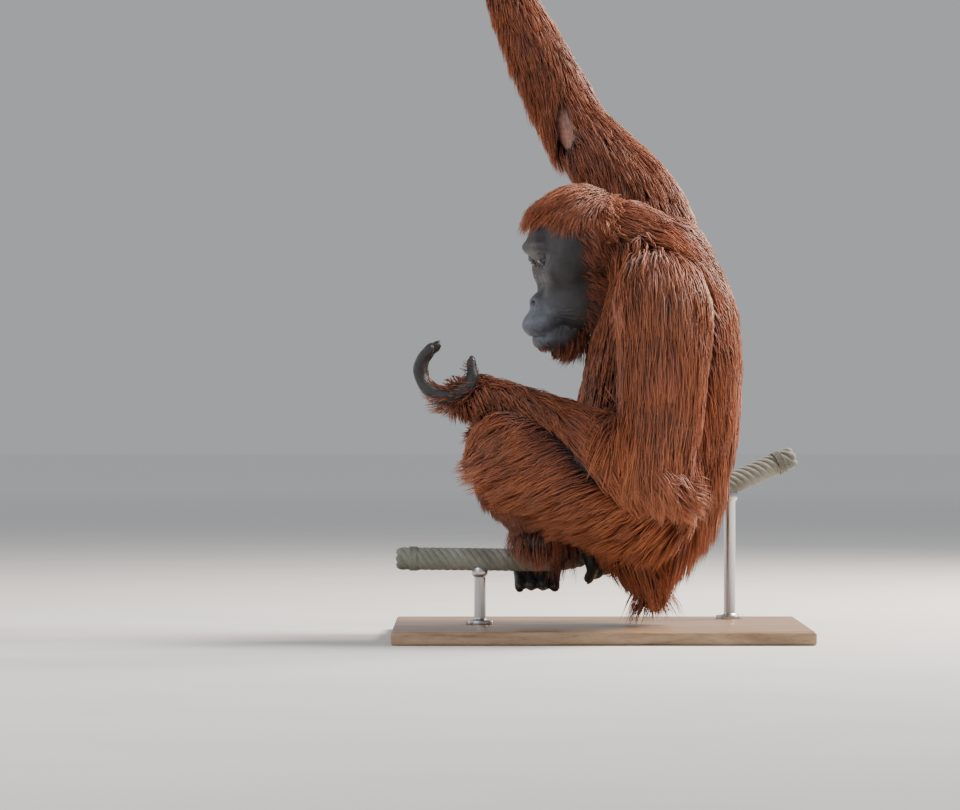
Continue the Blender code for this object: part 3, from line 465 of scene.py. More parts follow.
# Hands and feet: a palm or sole and its digits, curled round a bar
gripValues = {
    "hand": {"halfSpan": 0.037, "halfThick": 0.015, "digit": 0.0098, "tip": 0.0076, "spacing": 0.0195},
    "foot": {"halfSpan": 0.035, "halfThick": 0.017, "digit": 0.0100, "tip": 0.0082, "spacing": 0.0185},
    "gap": 0.0003,
    "knuckleSwell": 0.10,
    "nailLength": 0.72,
    "nailWidth": 0.66,
    "nailThick": 0.0013,
}
ropeValues = {
    "radius": 0.0175,
    "seatPoints": [
        (-0.300, -0.012, 0.119), (-0.180, -0.018, 0.118), (-0.095, -0.020, 0.117), (-0.040, -0.018, 0.121),
        (0.005, 0.010, 0.138), (0.055, 0.085, 0.163), (0.120, 0.150, 0.192), (0.205, 0.188, 0.228),
        (0.300, 0.215, 0.268),
    ],
    "heldHalf": 0.095,
    "cradleRadius": 0.028,
    "strands": 6,
    "strandTurn": 0.066,
    "yarnTurn": 0.011,
}
digitEnds = []


def makeGrip(kind, start, centre, along, over, radius, thumbSide, sweep, heel=None, hang=1.0):
    v = gripValues[kind]
    bar = along.cross(over)
    reach = radius + v["digit"] + gripValues["gap"]
    back = radius + v["halfThick"] + gripValues["gap"]
    knuckles = centre + over * back + along * 0.004
    middle = start.lerp(knuckles, 0.55) + over * 0.004
    span, thick = v["halfSpan"], v["halfThick"]
    rows = [(*start, span * 0.72, thick * 1.15), (*middle, span * 0.95, thick * 1.1), (*knuckles, span, thick)]
    if heel is not None:
        rows.insert(0, (*heel, span * 0.62, thick * 1.15))
    pieces = [drawnOut(rows, rings=16, sides=26, hint=bar)]
    turns = 6
    for k in range(4):
        place = (k - 1.5) * v["spacing"]
        reachShare = (0.92, 1.0, 0.98, 0.86)[k if thumbSide < 0 else 3 - k]
        points = []
        for i in range(turns):
            angle = math.radians(-12 + sweep * reachShare * i / (turns - 1))
            lift = math.cos(angle) if angle < math.pi / 2 else math.cos(angle) * hang
            spread = place * (1.0 - 0.06 * i / turns)
            points.append(centre + bar * spread + (over * lift + along * math.sin(angle)) * reach)
        radii = [v["digit"] + (v["tip"] - v["digit"]) * i / (turns - 1) for i in range(turns)]
        pieces.append(makeDigit(points, radii, bar))
        digitEnds.append((points[-1], points[-1] - points[-2], points[-1] - centre - bar * spread, radii[-1]))
    thumbRoot = start.lerp(knuckles, 0.35) + bar * thumbSide * span * 0.75
    thumbBend = centre + bar * thumbSide * (span + 0.006) - along * (reach + 0.006) + over * reach * 0.4
    thumbTip = centre + bar * thumbSide * (span - 0.004) - along * (reach + 0.002) - over * reach * 0.35
    points = [thumbRoot, thumbRoot.lerp(thumbBend, 0.6) + bar * thumbSide * 0.003, thumbBend, thumbTip]
    pieces.append(makeDigit(points, [0.0115, 0.0105, 0.0095, 0.0075], over))
    digitEnds.append((thumbTip, thumbTip - thumbBend, bar * thumbSide - along * 0.6, 0.0075))
    grip = joinAll(pieces, kind)
    applyModifier(grip, "REMESH", mode="VOXEL", voxel_size=bodyValues["handVoxel"], use_smooth_shade=True)
    applyModifier(grip, "SMOOTH", factor=0.5, iterations=4)
    return grip


def makeDigit(points, radii, hint):
    rows = spline([(*p, r, r) for p, r in zip(points, radii)], 25)
    share = np.linspace(0, 1, len(rows))
    swell = sum(hill(share - joint, 0.07) for joint in (0.30, 0.66)) * gripValues["knuckleSwell"]
    waist = sum(hill(share - middle, 0.10) for middle in (0.48, 0.82)) * gripValues["knuckleSwell"] * 0.6
    rows[:, 3:] *= (1 + swell - waist)[:, None]
    return drawnOut(rows, rings=26, sides=16, hint=hint)


def vector(values):
    return Vector([float(v) for v in values])


def ropeAt(x):
    rows = spline(ropeValues["seatPoints"], 60)
    return vector([np.interp(x, rows[:, 0], rows[:, k]) for k in range(3)])


def heldRopeFrame():
    wrist, before = vector(lengths["forearmRight"][-1][:3]), vector(lengths["forearmRight"][-2][:3])
    arm = (wrist - before).normalized()
    bar = Vector((1, 0, 0.06)).normalized()
    along = (arm - bar * arm.dot(bar)).normalized()
    over = bar.cross(along) * -1
    return wrist, wrist + arm * 0.092 - over * 0.030, along, over, bar


def makeHandsAndFeet():
    radius = ropeValues["radius"]
    down, across = Vector((0, 0, -1)), Vector((0, 1, 0))
    wrist = vector(lengths["forearmLeft"][-1][:3])
    along = Vector((-1, 0.10, 0.05)).normalized()
    over = (down - along * along.dot(down)).normalized()
    handLeft = makeGrip("hand", wrist, wrist + Vector((-0.030, 0.004, 0.034)), along, over,
                        ropeValues["cradleRadius"], 1, 168)
    wrist, centre, along, over, bar = heldRopeFrame()
    handRight = makeGrip("hand", wrist, centre, along, over, radius,
                         1 if along.cross(over).dot(bar) > 0 else -1, 238)
    centre = ropeAt(-0.094)
    footLeft = makeGrip("foot", centre - down * 0.036 - across * 0.055, centre, across, -down, radius, 1, 215,
                        centre - down * 0.030 - across * 0.088, 1.45)
    centre = ropeAt(-0.012)
    bar = (ropeAt(0.000) - ropeAt(-0.024)).normalized()
    along = (-across - bar * bar.dot(-across)).normalized()
    over = bar.cross(along)
    over = over if over.z > 0 else -over
    footRight = makeGrip("foot", centre + over * 0.036 - along * 0.050, centre, along, over, radius,
                         1 if along.cross(over).x > 0 else -1, 215, centre + over * 0.030 - along * 0.080, 1.3)
    return [handLeft, handRight, footLeft, footRight]


def makeNails():
    nails = []
    for tip, ahead, out, radius in digitEnds:
        ahead = ahead.normalized()
        out = (out - ahead * out.dot(ahead)).normalized()
        side = ahead.cross(out)
        lean = Matrix.Rotation(math.radians(-24), 3, side)
        ahead, out = lean @ ahead, lean @ out
        place = tip + out * radius * 0.80 + ahead * radius * 0.30
        turn = Matrix((side, ahead, out)).transposed().to_4x4()
        deselectAll()
        bpy.ops.mesh.primitive_uv_sphere_add(segments=18, ring_count=12)
        nail = bpy.context.object
        sizes = (radius * gripValues["nailWidth"], radius * gripValues["nailLength"], gripValues["nailThick"], 1)
        nail.matrix_world = Matrix.Translation(place) @ turn @ Matrix.Diagonal(sizes)
        nails.append(settle(nail, "nail"))
        points = readPoints(nail)
        sideways = (points - np.array(place)) @ np.array(side)
        points -= np.array(out) * ((sideways / radius) ** 2 * radius * 0.35)[:, None]
        writePoints(nail, points)
    made = joinAll(nails, "nails")
    bpy.ops.object.shade_smooth()
    return made


# Skin: body, head, lids, ears, hands and feet in one piece, with what the finish needs at each point
skinValues = {
    "hairline": (
        (-0.150, -0.064), (-0.120, -0.046), (-0.080, -0.026), (-0.040, -0.014), (-0.010, -0.010), (0.018, -0.014),
        (0.034, -0.030), (0.046, -0.058), (0.060, -0.080),
    ),
    "hairlineFade": 0.05,
    "hairlineWave": 0.07,
    "elbowPatch": (-0.048, 0.200, 0.775),
    "elbowPatchSize": 0.021,
    "elbowPatchShape": (1, 0.6, 0.55),
}


def faceShare(points):
    # Over 0 on the bare face, 0 on the hairline and less than 0 in the hair
    x, y, z = toHead(points).T
    heights, places = zip(*skinValues["hairline"])
    share = (np.interp(z, heights, places) - x) / skinValues["hairlineFade"]
    share = share + skinValues["hairlineWave"] * (np.sin(y * 190 + z * 70) + np.sin(z * 230 + y * 60 + 1.3))
    chin = smoothStep(-z, 0.136, 0.146) * 0.6
    return np.clip(share - chin, -1, 1)


def makeSkin(body, head, lids, ears, grips):
    counts = {}
    groups = {"body": [body], "head": [head], "lids": lids, "ears": ears, "hands": grips[:2], "feet": grips[2:]}
    for name, objs in groups.items():
        counts[name] = sum(len(o.data.vertices) for o in objs)
        tell(f"{name} {sum(len(o.data.polygons) for o in objs)} faces")
    skin = joinAll([body, head, *lids, *ears, *grips], "skin")
    points = readPoints(skin)
    part = np.repeat(np.arange(6), list(counts.values()))
    near = np.linalg.norm(points - headShift, axis=1) < 0.25
    bare = np.clip(faceShare(points) * 5 + 0.5, 0, 1) * near * (part > 0)
    bare = np.maximum(bare, part >= 2)
    local = toHead(points)
    muzzle = smoothStep(-local[:, 2], 0.045, 0.082) * smoothStep(-local[:, 0], 0.050, 0.108) * (part == 1)
    eye = np.array(headValues["eyePlace"])
    fromEye = np.linalg.norm(np.abs(local * (0, 1, 0)) + local * (1, 0, 1) - eye, axis=1)
    pale = np.maximum(muzzle, 0.40 * hill(fromEye, 0.016) * near)
    patch = np.linalg.norm((points - np.array(skinValues["elbowPatch"])) * skinValues["elbowPatchShape"], axis=1)
    writeFloats(skin, "bare", bare)
    # painted shade: the feet are marked for a darker skin than the hands, for the shade they sit in under the body
    writeFloats(skin, "dark", part == 5)
    writeFloats(skin, "pale", pale)
    writeFloats(skin, "pink", smoothStep(-patch, -skinValues["elbowPatchSize"], -skinValues["elbowPatchSize"] * 0.6))
    activeOnly(skin)
    bpy.ops.object.shade_smooth()
    return skin, part


# Coat: closed flat tufts rooted on the skin, laid along the body and hanging at their tips
coatValues = {
    "seed": 7,
    "trianglesPerPiece": 196000,
    "rootSink": 0.0015,
    "clumps": ((70, 0.45, 0.30), (10, 0.60, 0.35)),
    "ownTone": 0.35,
    "wave": 0.0032,
    "waveLength": 0.055,
    "patch": 0.0030,
}
# Each length's coat: tufts, their length at its start and end, width, thickness of the coat,
# lie along the length (less than 0 towards its start), pull of weight and spare length of the shortest
coatAreas = {
    "torso": {"tufts": 18000, "long": (0.125, 0.110), "wide": 0.0026, "depth": 0.034, "lie": -0.5, "weight": 0.8, "steps": 4},
    "neck": {"tufts": 2000, "long": (0.090, 0.050), "wide": 0.0020, "depth": 0.020, "lie": -0.8, "weight": 0.5, "steps": 3},
    "upperArmLeft": {"tufts": 8400, "long": (0.120, 0.130), "wide": 0.0026, "depth": 0.026, "lie": 0.8, "weight": 0.6, "steps": 4},
    "forearmLeft": {"tufts": 6000, "long": (0.100, 0.035), "wide": 0.0023, "depth": 0.018, "lie": -0.8, "weight": 0.7, "steps": 3},
    "upperArmRight": {"tufts": 8600, "long": (0.080, 0.075), "wide": 0.0021, "depth": 0.016, "lie": -0.9, "weight": 0.4, "steps": 3},
    "forearmRight": {"tufts": 7000, "long": (0.080, 0.032), "wide": 0.0020, "depth": 0.014, "lie": -0.9, "weight": 0.4, "steps": 3},
    "thighLeft": {"tufts": 6600, "long": (0.090, 0.080), "wide": 0.0024, "depth": 0.022, "lie": 0.8, "weight": 0.5, "steps": 3},
    "shinLeft": {"tufts": 4800, "long": (0.080, 0.035), "wide": 0.0022, "depth": 0.018, "lie": 0.8, "weight": 0.5, "steps": 3},
    "thighRight": {"tufts": 4300, "long": (0.090, 0.080), "wide": 0.0024, "depth": 0.022, "lie": 0.8, "weight": 0.5, "steps": 3},
    "shinRight": {"tufts": 3000, "long": (0.080, 0.035), "wide": 0.0022, "depth": 0.018, "lie": 0.8, "weight": 0.5, "steps": 3},
}
headCoat = {
    "tufts": 11500,
    "wide": 0.0012,
    "crown": (0.070, 0.000, 0.034),
    "sideLie": (0.25, 0.0, -1.0),
    "capLength": 0.038,
    "frontDepth": 0.013,
    "sideLength": 0.040,
    "cheekLength": 0.018,
    "chinLength": 0.022,
    "depth": 0.011,
}
gripCoat = {
    "tufts": 3600,
    "wide": 0.0012,
    "long": 0.026,
    "footLong": 0.046,
    "depth": 0.005,
    "reach": (0.068, 0.068, 0.092, 0.092),
    "footLie": (0.0, -0.25, -1.0),
}
areaNames = list(coatAreas)


def nearestLength(points):
    # Which length each point is on, its share along it, the angle round it and the way along it
    best = np.full(len(points), 9.0)
    which = np.zeros(len(points), int)
    share, angle = np.zeros(len(points)), np.zeros(len(points))
    ahead = np.zeros((len(points), 3))
    for i, name in enumerate(areaNames):
        path = spline(lengths[name], 60)
        tangents = unit(np.gradient(path[:, :3], axis=0))
        gaps = np.linalg.norm(points[:, None, :] - path[None, :, :3], axis=2)
        slack = gaps - (path[:, 3] + path[:, 4]) / 2
        place = slack.argmin(axis=1)
        close = slack[np.arange(len(points)), place]
        away = points - path[place, :3]
        tangent = tangents[place]
        total = np.linalg.norm(np.diff(path[:, :3], axis=0), axis=1).sum()
        along = place / 59 + np.einsum("ij,ij->i", away, tangent) / total
        side = unit(np.array((0, 1.0, 0)) - tangent * tangent[:, 1:2])
        out = np.cross(tangent, side)
        round_ = np.arctan2(np.einsum("ij,ij->i", away, out), np.einsum("ij,ij->i", away, side))
        take = close < best
        best[take], which[take], share[take] = close[take], i, along[take]
        angle[take], ahead[take] = round_[take], tangent[take]
    return which, share, angle, ahead


def skinFacts(skin, part):
    mesh = skin.data
    mesh.calc_loop_triangles()
    corners = np.empty(len(mesh.loop_triangles) * 3, np.int32)
    mesh.loop_triangles.foreach_get("vertices", corners)
    corners = corners.reshape(-1, 3)
    points = readPoints(skin)
    normals = np.empty(len(points) * 3, np.float32)
    mesh.vertices.foreach_get("normal", normals)
    tree = BVHTree.FromPolygons([tuple(p) for p in points], [tuple(c) for c in corners.tolist()])
    return {"points": points, "corners": corners, "normals": normals.reshape(-1, 3).astype(float),
            "part": part[corners[:, 0]], "tree": tree}


def scatter(facts, mask, weight, count, draw):
    # Roots spread evenly over the chosen triangles, denser where the weight is more
    chosen = np.flatnonzero(mask)
    a, b, c = (facts["points"][facts["corners"][chosen, k]] for k in range(3))
    share = np.linalg.norm(np.cross(b - a, c - a), axis=1) * weight((a + b + c) / 3)
    total = np.cumsum(share)
    picked = np.searchsorted(total, draw.random(count) * total[-1])
    u, v = draw.random(count), draw.random(count)
    over = u + v > 1
    u, v = np.where(over, 1 - u, u)[:, None], np.where(over, 1 - v, v)[:, None]
    roots = a[picked] + (b - a)[picked] * u + (c - a)[picked] * v
    n = [facts["normals"][facts["corners"][chosen[picked], k]] for k in range(3)]
    return roots, unit(n[0] + (n[1] - n[0]) * u + (n[2] - n[0]) * v)


def nearSkin(tree, points):
    places, normals = np.empty_like(points), np.empty_like(points)
    find = tree.find_nearest
    for i, point in enumerate(points.tolist()):
        place, normal, _, _ = find(point)
        places[i], normals[i] = place, normal
    return places, normals


def layTufts(tree, roots, normals, lie, long, depth, weight, draw, steps=3):
    # Each tuft starts at its root, keeps above the skin by its own layer's height and droops by its weight
    count = len(roots)
    layer = depth * (0.12 + 0.88 * draw.random(count) ** 0.8)
    way = unit(lie - normals * np.einsum("ij,ij->i", lie, normals)[:, None])
    way = unit(way + draw.normal(0, 0.10, (count, 3)))
    lines = [roots - normals * coatValues["rootSink"]]
    place, normal = roots, normals
    heading = unit(way * 0.75 + normals * 0.55)
    down = np.array((0, 0, -1.0))
    for k in range(1, steps + 1):
        share = k / steps
        place = place + heading * (long / steps)[:, None]
        near, normal = nearSkin(tree, place)
        height = np.einsum("ij,ij->i", place - near, normal)
        away = np.linalg.norm(place - near, axis=1)
        wanted = layer * np.sin(np.pi / 2 * np.minimum(1, share * 1.5))
        low = (height < wanted) & (away < 0.06)
        place = np.where(low[:, None], near + normal * wanted[:, None], place)
        free = normal[:, 2] < -0.25
        high = (away > wanted) & ~free
        drop = np.where(high, np.minimum(away - wanted, 0.02) * 0.45, 0)
        place = place - unit(place - near) * drop[:, None] * (height > 0)[:, None]
        flow = heading * 0.6 + way * 0.5 + down * (weight * (0.25 + 0.75 * share))[:, None]
        lift = np.einsum("ij,ij->i", flow, normal)
        pressed = np.where((away < wanted + 0.012) & ~free, np.minimum(lift, 0) * 1.0 + np.maximum(lift, 0) * 0.7, 0)
        heading = unit(flow - normal * pressed[:, None])
        lines.append(place)
    return np.stack(lines, axis=1)


def clump(lines, draw, pull=None):
    # Tufts lean towards the tip of the nearest guide, first in wide locks and then in narrow ones;
    # each lock, narrow lock and tuft has its own share of the tone
    v = coatValues
    count = len(lines)
    tones = np.zeros(count)
    share = np.linspace(0, 1, lines.shape[1])[None, :, None]
    for every, strength, part in v["clumps"]:
        guides = draw.choice(count, max(1, count // every), replace=False)
        tree = KDTree(len(guides))
        for i, guide in enumerate(guides):
            tree.insert(lines[guide, 0].tolist(), i)
        tree.balance()
        nearest = np.array([tree.find(root)[1] for root in lines[:, 0].tolist()])
        guide = lines[guides[nearest]]
        offset = (lines[:, :1] - guide[:, :1]) * (1 - 0.75 * share)
        pulled = strength * (pull or 1) * (0.55 + 0.45 * draw.random(count))[:, None, None] * share**1.1
        lines = lines * (1 - pulled) + (guide + offset) * pulled
        tones += draw.random(len(guides))[nearest] * part
    return lines, tones + draw.random(count) * v["ownTone"]


def tuftMesh(name, lines, normals, widths, tones, places, waves):
    # Closed three-sided tufts: a ring at each step but the last, which is the tip
    count, points, _ = lines.shape
    rings = points - 1
    tangents = unit(np.gradient(lines, axis=1))
    across = unit(np.cross(tangents, normals[:, None, :]))
    raised = np.cross(across, tangents)
    share = np.linspace(0, 1, points)
    lines = lines + across * waves[:, :, None]
    profile = np.interp(share[:rings], (0, 0.3, 1), (0.8, 1.0, 0.30))
    wide = (widths[:, None] * profile[None, :] / 2)[:, :, None]
    body, side, lift = lines[:, :rings], across[:, :rings] * wide, raised[:, :rings] * wide
    ring = np.stack([body + side - lift * 0.2, body + lift * 0.75, body - side - lift * 0.2], axis=2)
    perTuft = rings * 3 + 1
    verts = np.concatenate([ring.reshape(count, rings * 3, 3), lines[:, -1:]], axis=1).reshape(-1, 3)
    quads = []
    for i in range(rings - 1):
        for k in range(3):
            a, b = i * 3 + k, i * 3 + (k + 1) % 3
            quads.append((a, b, b + 3, a + 3))
    last = (rings - 1) * 3
    tris = [(last, last + 1, perTuft - 1), (last + 1, last + 2, perTuft - 1), (last + 2, last, perTuft - 1), (2, 1, 0)]
    pattern = np.array([c for face in quads for c in face] + [c for face in tris for c in face])
    sizes = np.array([4] * len(quads) + [3] * len(tris))
    loops = (pattern[None, :] + (np.arange(count) * perTuft)[:, None]).ravel()
    starts = np.concatenate([[0], np.cumsum(np.tile(sizes, count))[:-1]])
    mesh = bpy.data.meshes.new(name)
    mesh.vertices.add(len(verts))
    mesh.vertices.foreach_set("co", verts.astype(np.float32).ravel())
    mesh.loops.add(len(loops))
    mesh.loops.foreach_set("vertex_index", loops.astype(np.int32))
    mesh.polygons.add(len(starts))
    mesh.polygons.foreach_set("loop_start", starts.astype(np.int32))
    mesh.polygons.foreach_set("use_smooth", np.ones(len(starts), bool))
    made = mesh.attributes.new("tone", "FLOAT", "POINT")
    made.data.foreach_set("value", np.repeat(tones, perTuft).astype(np.float32))
    made = mesh.attributes.new("along", "FLOAT", "POINT")
    along = np.concatenate([np.repeat(share[:rings], 3), [1.0]])
    made.data.foreach_set("value", np.tile(along, count).astype(np.float32))
    made = mesh.attributes.new("across", "FLOAT", "POINT")
    made.data.foreach_set("value", np.tile([-1.0, 0.0, 1.0] * rings + [0.0], count).astype(np.float32))
    patch = coatValues["patch"]
    local = np.stack([np.concatenate([np.tile([-0.5, 0, 0.5], rings), [0]]), along - 0.5], axis=1) * patch
    onVerts = (places[:, None, :] + local[None, :, :]).reshape(-1, 2)
    mesh.update(calc_edges=True)
    bake = mesh.uv_layers.new(name="OFBake")
    bake.data.foreach_set("uv", onVerts[loops].astype(np.float32).ravel())
    mesh.validate()
    made = bpy.data.objects.new(name, mesh)
    bpy.context.scene.collection.objects.link(made)
    return made


def makeTufts(name, lines, normals, width, tones, places, draw, wave=None):
    # Waves and widths, then as many pieces as the limit on one piece asks
    count, points, _ = lines.shape
    long = np.linalg.norm(np.diff(lines, axis=1), axis=2).sum(axis=1)
    share = np.linspace(0, 1, points)[None, :]
    size = (coatValues["wave"] if wave is None else wave) * (0.3 + draw.random(count)) * np.minimum(1, long / 0.08)
    turns = share * long[:, None] / coatValues["waveLength"] * 2 * math.pi
    waves = size[:, None] * (np.sin(turns + draw.random(count)[:, None] * 6.3) * share)
    widths = width * (0.6 + 0.8 * draw.random(count))
    order = draw.permutation(count)
    pieces = []
    parts = math.ceil(count * (6 * points - 8) / coatValues["trianglesPerPiece"])
    for i, chosen in enumerate(np.array_split(order, parts)):
        label = name if parts == 1 else f"{name}{'ABCDEFGH'[i]}"
        pieces.append(tuftMesh(label, lines[chosen], normals[chosen], widths[chosen], tones[chosen],
                               places[chosen], waves[chosen]))
    return pieces


def makeBodyCoat(facts, draw):
    # Back and flanks carry the long coat; the belly and the insides of the legs a short, thin one
    pieces = []
    body = facts["part"] == 0
    centres = facts["points"][facts["corners"]].mean(axis=1)
    which, _, _, _ = nearestLength(centres[body])
    area = np.full(len(body), -1)
    area[body] = which
    patch = np.array(skinValues["elbowPatch"])
    for i, name in enumerate(areaNames):
        v = coatAreas[name]

        def weight(points):
            fromPatch = np.linalg.norm((points - patch) * skinValues["elbowPatchShape"], axis=1)
            thin = 0.05 + 0.95 * smoothStep(fromPatch, 0.012, 0.026)
            inHead = np.linalg.norm(points - headShift - (0.0, 0.0, -0.03), axis=1) < 0.052
            return thin * ~inHead

        roots, normals = scatter(facts, area == i, weight, v["tufts"], draw)
        _, share, angle, ahead = nearestLength(roots)
        lie = ahead * v["lie"] + np.array((0, 0, -1.0)) * 0.35
        long = np.interp(share, (0, 1), v["long"]) * (0.55 + 0.5 * draw.random(len(roots)))
        depth = np.full(len(roots), v["depth"])
        if name == "torso":
            front = smoothStep(-normals[:, 0], 0.15, 0.75)
            long *= 1 - 0.6 * front
            depth *= 1 - 0.6 * front
            lie = lie + np.array((0.35, 0, 0)) * (1 - front)[:, None]
        lines = layTufts(facts["tree"], roots, normals, lie, long, depth, np.full(len(roots), v["weight"]), draw,
                         v["steps"])
        between = np.concatenate([lines, (lines[:, 1:] + lines[:, :-1]) / 2], axis=1)
        fromPatch = np.linalg.norm((between - patch) * skinValues["elbowPatchShape"], axis=2).min(axis=1)
        clear = fromPatch > skinValues["elbowPatchSize"] * 0.62
        lines, normals, angle, share = lines[clear], normals[clear], angle[clear], share[clear]
        lines, tones = clump(lines, draw)
        places = np.stack([0.02 + 0.96 * (angle / (2 * math.pi) + 0.5),
                           0.02 + 0.96 * np.clip((share + 0.15) / 1.3, 0, 1)], axis=1)
        pieces += makeTufts("coat" + name[0].upper() + name[1:], lines, normals, v["wide"], tones, places, draw)
    return pieces


def makeHeadCoat(facts, draw):
    v = headCoat
    mask = facts["part"] == 1

    def weight(points):
        share = faceShare(points)
        local = toHead(points)
        chin = smoothStep(-local[:, 2], 0.125, 0.140) * 0.25
        inNeck = smoothStep(local[:, 0], 0.02, 0.05) * smoothStep(-local[:, 2], 0.02, 0.05)
        return np.maximum(smoothStep(-share, -0.10, 0.34), chin) * (1 - 0.8 * inNeck) + 0.0001

    roots, normals = scatter(facts, mask, weight, v["tufts"], draw)
    local = toHead(roots)
    share = faceShare(roots)
    cheek = smoothStep(-local[:, 2], 0.015, 0.050)
    side = smoothStep(np.abs(local[:, 1]), 0.030, 0.052) * smoothStep(-local[:, 2], -0.050, -0.010) * (1 - cheek)
    front = smoothStep(-local[:, 0], 0.000, 0.050)
    chin = smoothStep(-local[:, 2], 0.105, 0.130) * front
    crown = local - np.array(v["crown"])
    lieCap = unit(unit(crown) + draw.normal(0, 0.12, crown.shape))
    lieCap = unit(lieCap * (1 - side)[:, None] + np.array(v["sideLie"]) * side[:, None])
    lieCheek = unit(np.stack([0.9 - 0.4 * front, 0.5 * np.sign(local[:, 1]), np.full(len(roots), -0.8)], axis=1))
    lieChin = np.array((-0.35, 0, -1.0))
    lie = lieCap * (1 - cheek)[:, None] + lieCheek * (cheek * (1 - chin))[:, None] + lieChin * chin[:, None]
    long = v["capLength"] * (1 - cheek) + v["cheekLength"] * cheek * (1 - chin) + v["chinLength"] * chin
    long = long + (v["sideLength"] - v["cheekLength"]) * cheek * smoothStep(-share, 0.4, 0.9)
    byEdge = 0.40 + 0.60 * smoothStep(-share, 0.0, 0.30)
    long *= (0.5 + 0.6 * draw.random(len(roots))) * (byEdge * cheek + (0.85 + 0.15 * byEdge) * (1 - cheek))
    overBrow = front * smoothStep(local[:, 2], 0.020, 0.045)
    depth = (v["depth"] + v["frontDepth"] * overBrow) * np.minimum(1, long / 0.04)
    lines = layTufts(facts["tree"], roots, normals, lie @ headTurn.T, long, depth, np.full(len(roots), 0.35), draw)
    lines, tones = clump(lines, draw, 0.7)
    polar = np.arctan2(np.hypot(local[:, 0] + 0.016, local[:, 1]), local[:, 2] + 0.036) / math.pi
    turn = np.arctan2(local[:, 1], -local[:, 0] - 0.016) / (2 * math.pi) + 0.5
    places = np.stack([0.02 + 0.96 * turn, 0.02 + 0.96 * polar], axis=1)
    return makeTufts("coatHead", lines, normals, v["wide"], tones, places, draw, 0.0012)


def makeGripCoat(facts, draw):
    # Short sparse hair on the backs of the hands and feet, down to the knuckles
    v = gripCoat
    wrists = [lengths[n][-1][:3] for n in ("forearmLeft", "forearmRight", "shinLeft", "shinRight")]
    wrists, before = np.array(wrists), np.array([lengths[n][-2][:3] for n in ("forearmLeft", "forearmRight",
                                                                             "shinLeft", "shinRight")])

    def weight(points):
        gaps = np.linalg.norm(points[:, None] - wrists[None], axis=2)
        gaps = (gaps - np.array(v["reach"])).min(axis=1)
        return smoothStep(-gaps, 0.0, 0.038) + 1e-6

    roots, normals = scatter(facts, facts["part"] >= 4, weight, v["tufts"], draw)
    near = np.linalg.norm(roots[:, None] - wrists[None], axis=2).argmin(axis=1)
    lie = np.where((near < 2)[:, None], unit(wrists - before)[near], v["footLie"])
    long = np.where(near < 2, v["long"], v["footLong"]) * (0.5 + 0.6 * draw.random(len(roots)))
    depth = np.full(len(roots), v["depth"])
    lines = layTufts(facts["tree"], roots, normals, lie, long, depth, np.full(len(roots), 0.3), draw)
    lines, tones = clump(lines, draw, 0.5)
    tones *= 0.6
    local = roots - wrists[near]
    turn = np.arctan2(local[:, 1], local[:, 0]) / (2 * math.pi) + 0.5
    height = np.clip(np.linalg.norm(local, axis=1) / 0.07, 0, 1)
    places = np.stack([(near % 2 + 0.04 + 0.92 * turn) / 2, (near // 2 + 0.04 + 0.92 * height) / 2], axis=1)
    return makeTufts("coatHandsFeet", lines, normals, v["wide"], tones, places, draw, 0.0006)


# Rope: six strands laid round a core, each of twisted yarns, with a whipping of twine at both ends
def ropePath(points, step=0.003):
    rows = spline(points, 40)
    total = np.linalg.norm(np.diff(rows[:, :3], axis=0), axis=1).sum()
    path = spline(points, int(total / step))
    ahead = unit(np.gradient(path[:, :3], axis=0))
    side = unit(np.array((0, 1.0, 0)) - ahead * ahead[:, 1:2])
    return path[:, :3], side, np.cross(ahead, side), np.linspace(0, total, len(path)), total


def makeRope(name, points, node):
    v = ropeValues
    path, side, out, along, total = ropePath(points)
    strand = v["radius"] * 0.36
    offset = v["radius"] - strand
    middle = np.column_stack([path, np.full((len(path), 2), offset)])
    pieces = [drawnOut(middle[4:-4:4], rings=len(path) // 4, sides=16)]
    for k in range(v["strands"]):
        turn = along / v["strandTurn"] * 2 * math.pi + k * 2 * math.pi / v["strands"]
        centre = path + side * (np.cos(turn) * offset)[:, None] + out * (np.sin(turn) * offset)[:, None]
        rows = np.column_stack([centre, np.full((len(path), 2), strand)])

        def relief(place, around):
            groove = np.abs(np.cos(around * 2.0 - place / len(path) * total / v["yarnTurn"] * math.pi))
            return 0.92 + 0.08 * np.sqrt(groove)

        pieces.append(drawnOut(rows, rings=len(path) - 1, sides=16, relief=relief))
    for start in (0.014, total - 0.026):
        span = np.linspace(start, start + 0.012, 90)
        turn = (span - start) / 0.0020 * 2 * math.pi
        at = np.stack([np.interp(span, along, path[:, i]) for i in range(3)], axis=1)
        sideAt = np.stack([np.interp(span, along, side[:, i]) for i in range(3)], axis=1)
        outAt = np.stack([np.interp(span, along, out[:, i]) for i in range(3)], axis=1)
        centre = at + (sideAt * np.cos(turn)[:, None] + outAt * np.sin(turn)[:, None]) * v["radius"]
        rows = np.column_stack([centre, np.full((len(span), 2), 0.0011)])
        tangent = unit(path[1] - path[0]) if start < total / 2 else unit(path[-1] - path[-2])
        pieces.append(drawnOut(rows, rings=178, sides=8, hint=tangent))
    rope = joinAll(pieces, name)
    bpy.ops.object.shade_smooth()
    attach(rope, "root")
    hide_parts(node)
    return rope


# Stand: a bevelled, varnished board and two steel rods with a foot plate and a cup for the rope
standValues = {
    "length": 0.62,
    "width": 0.58,
    "thick": 0.02,
    "bevel": 0.004,
    "rodRadius": 0.009,
    "plateRadius": 0.021,
    "plateThick": 0.005,
    "cupRadius": 0.0125,
    "cupHeight": 0.014,
    "rods": {"stand_rod_front": 1, "stand_rod_back": 7},
}


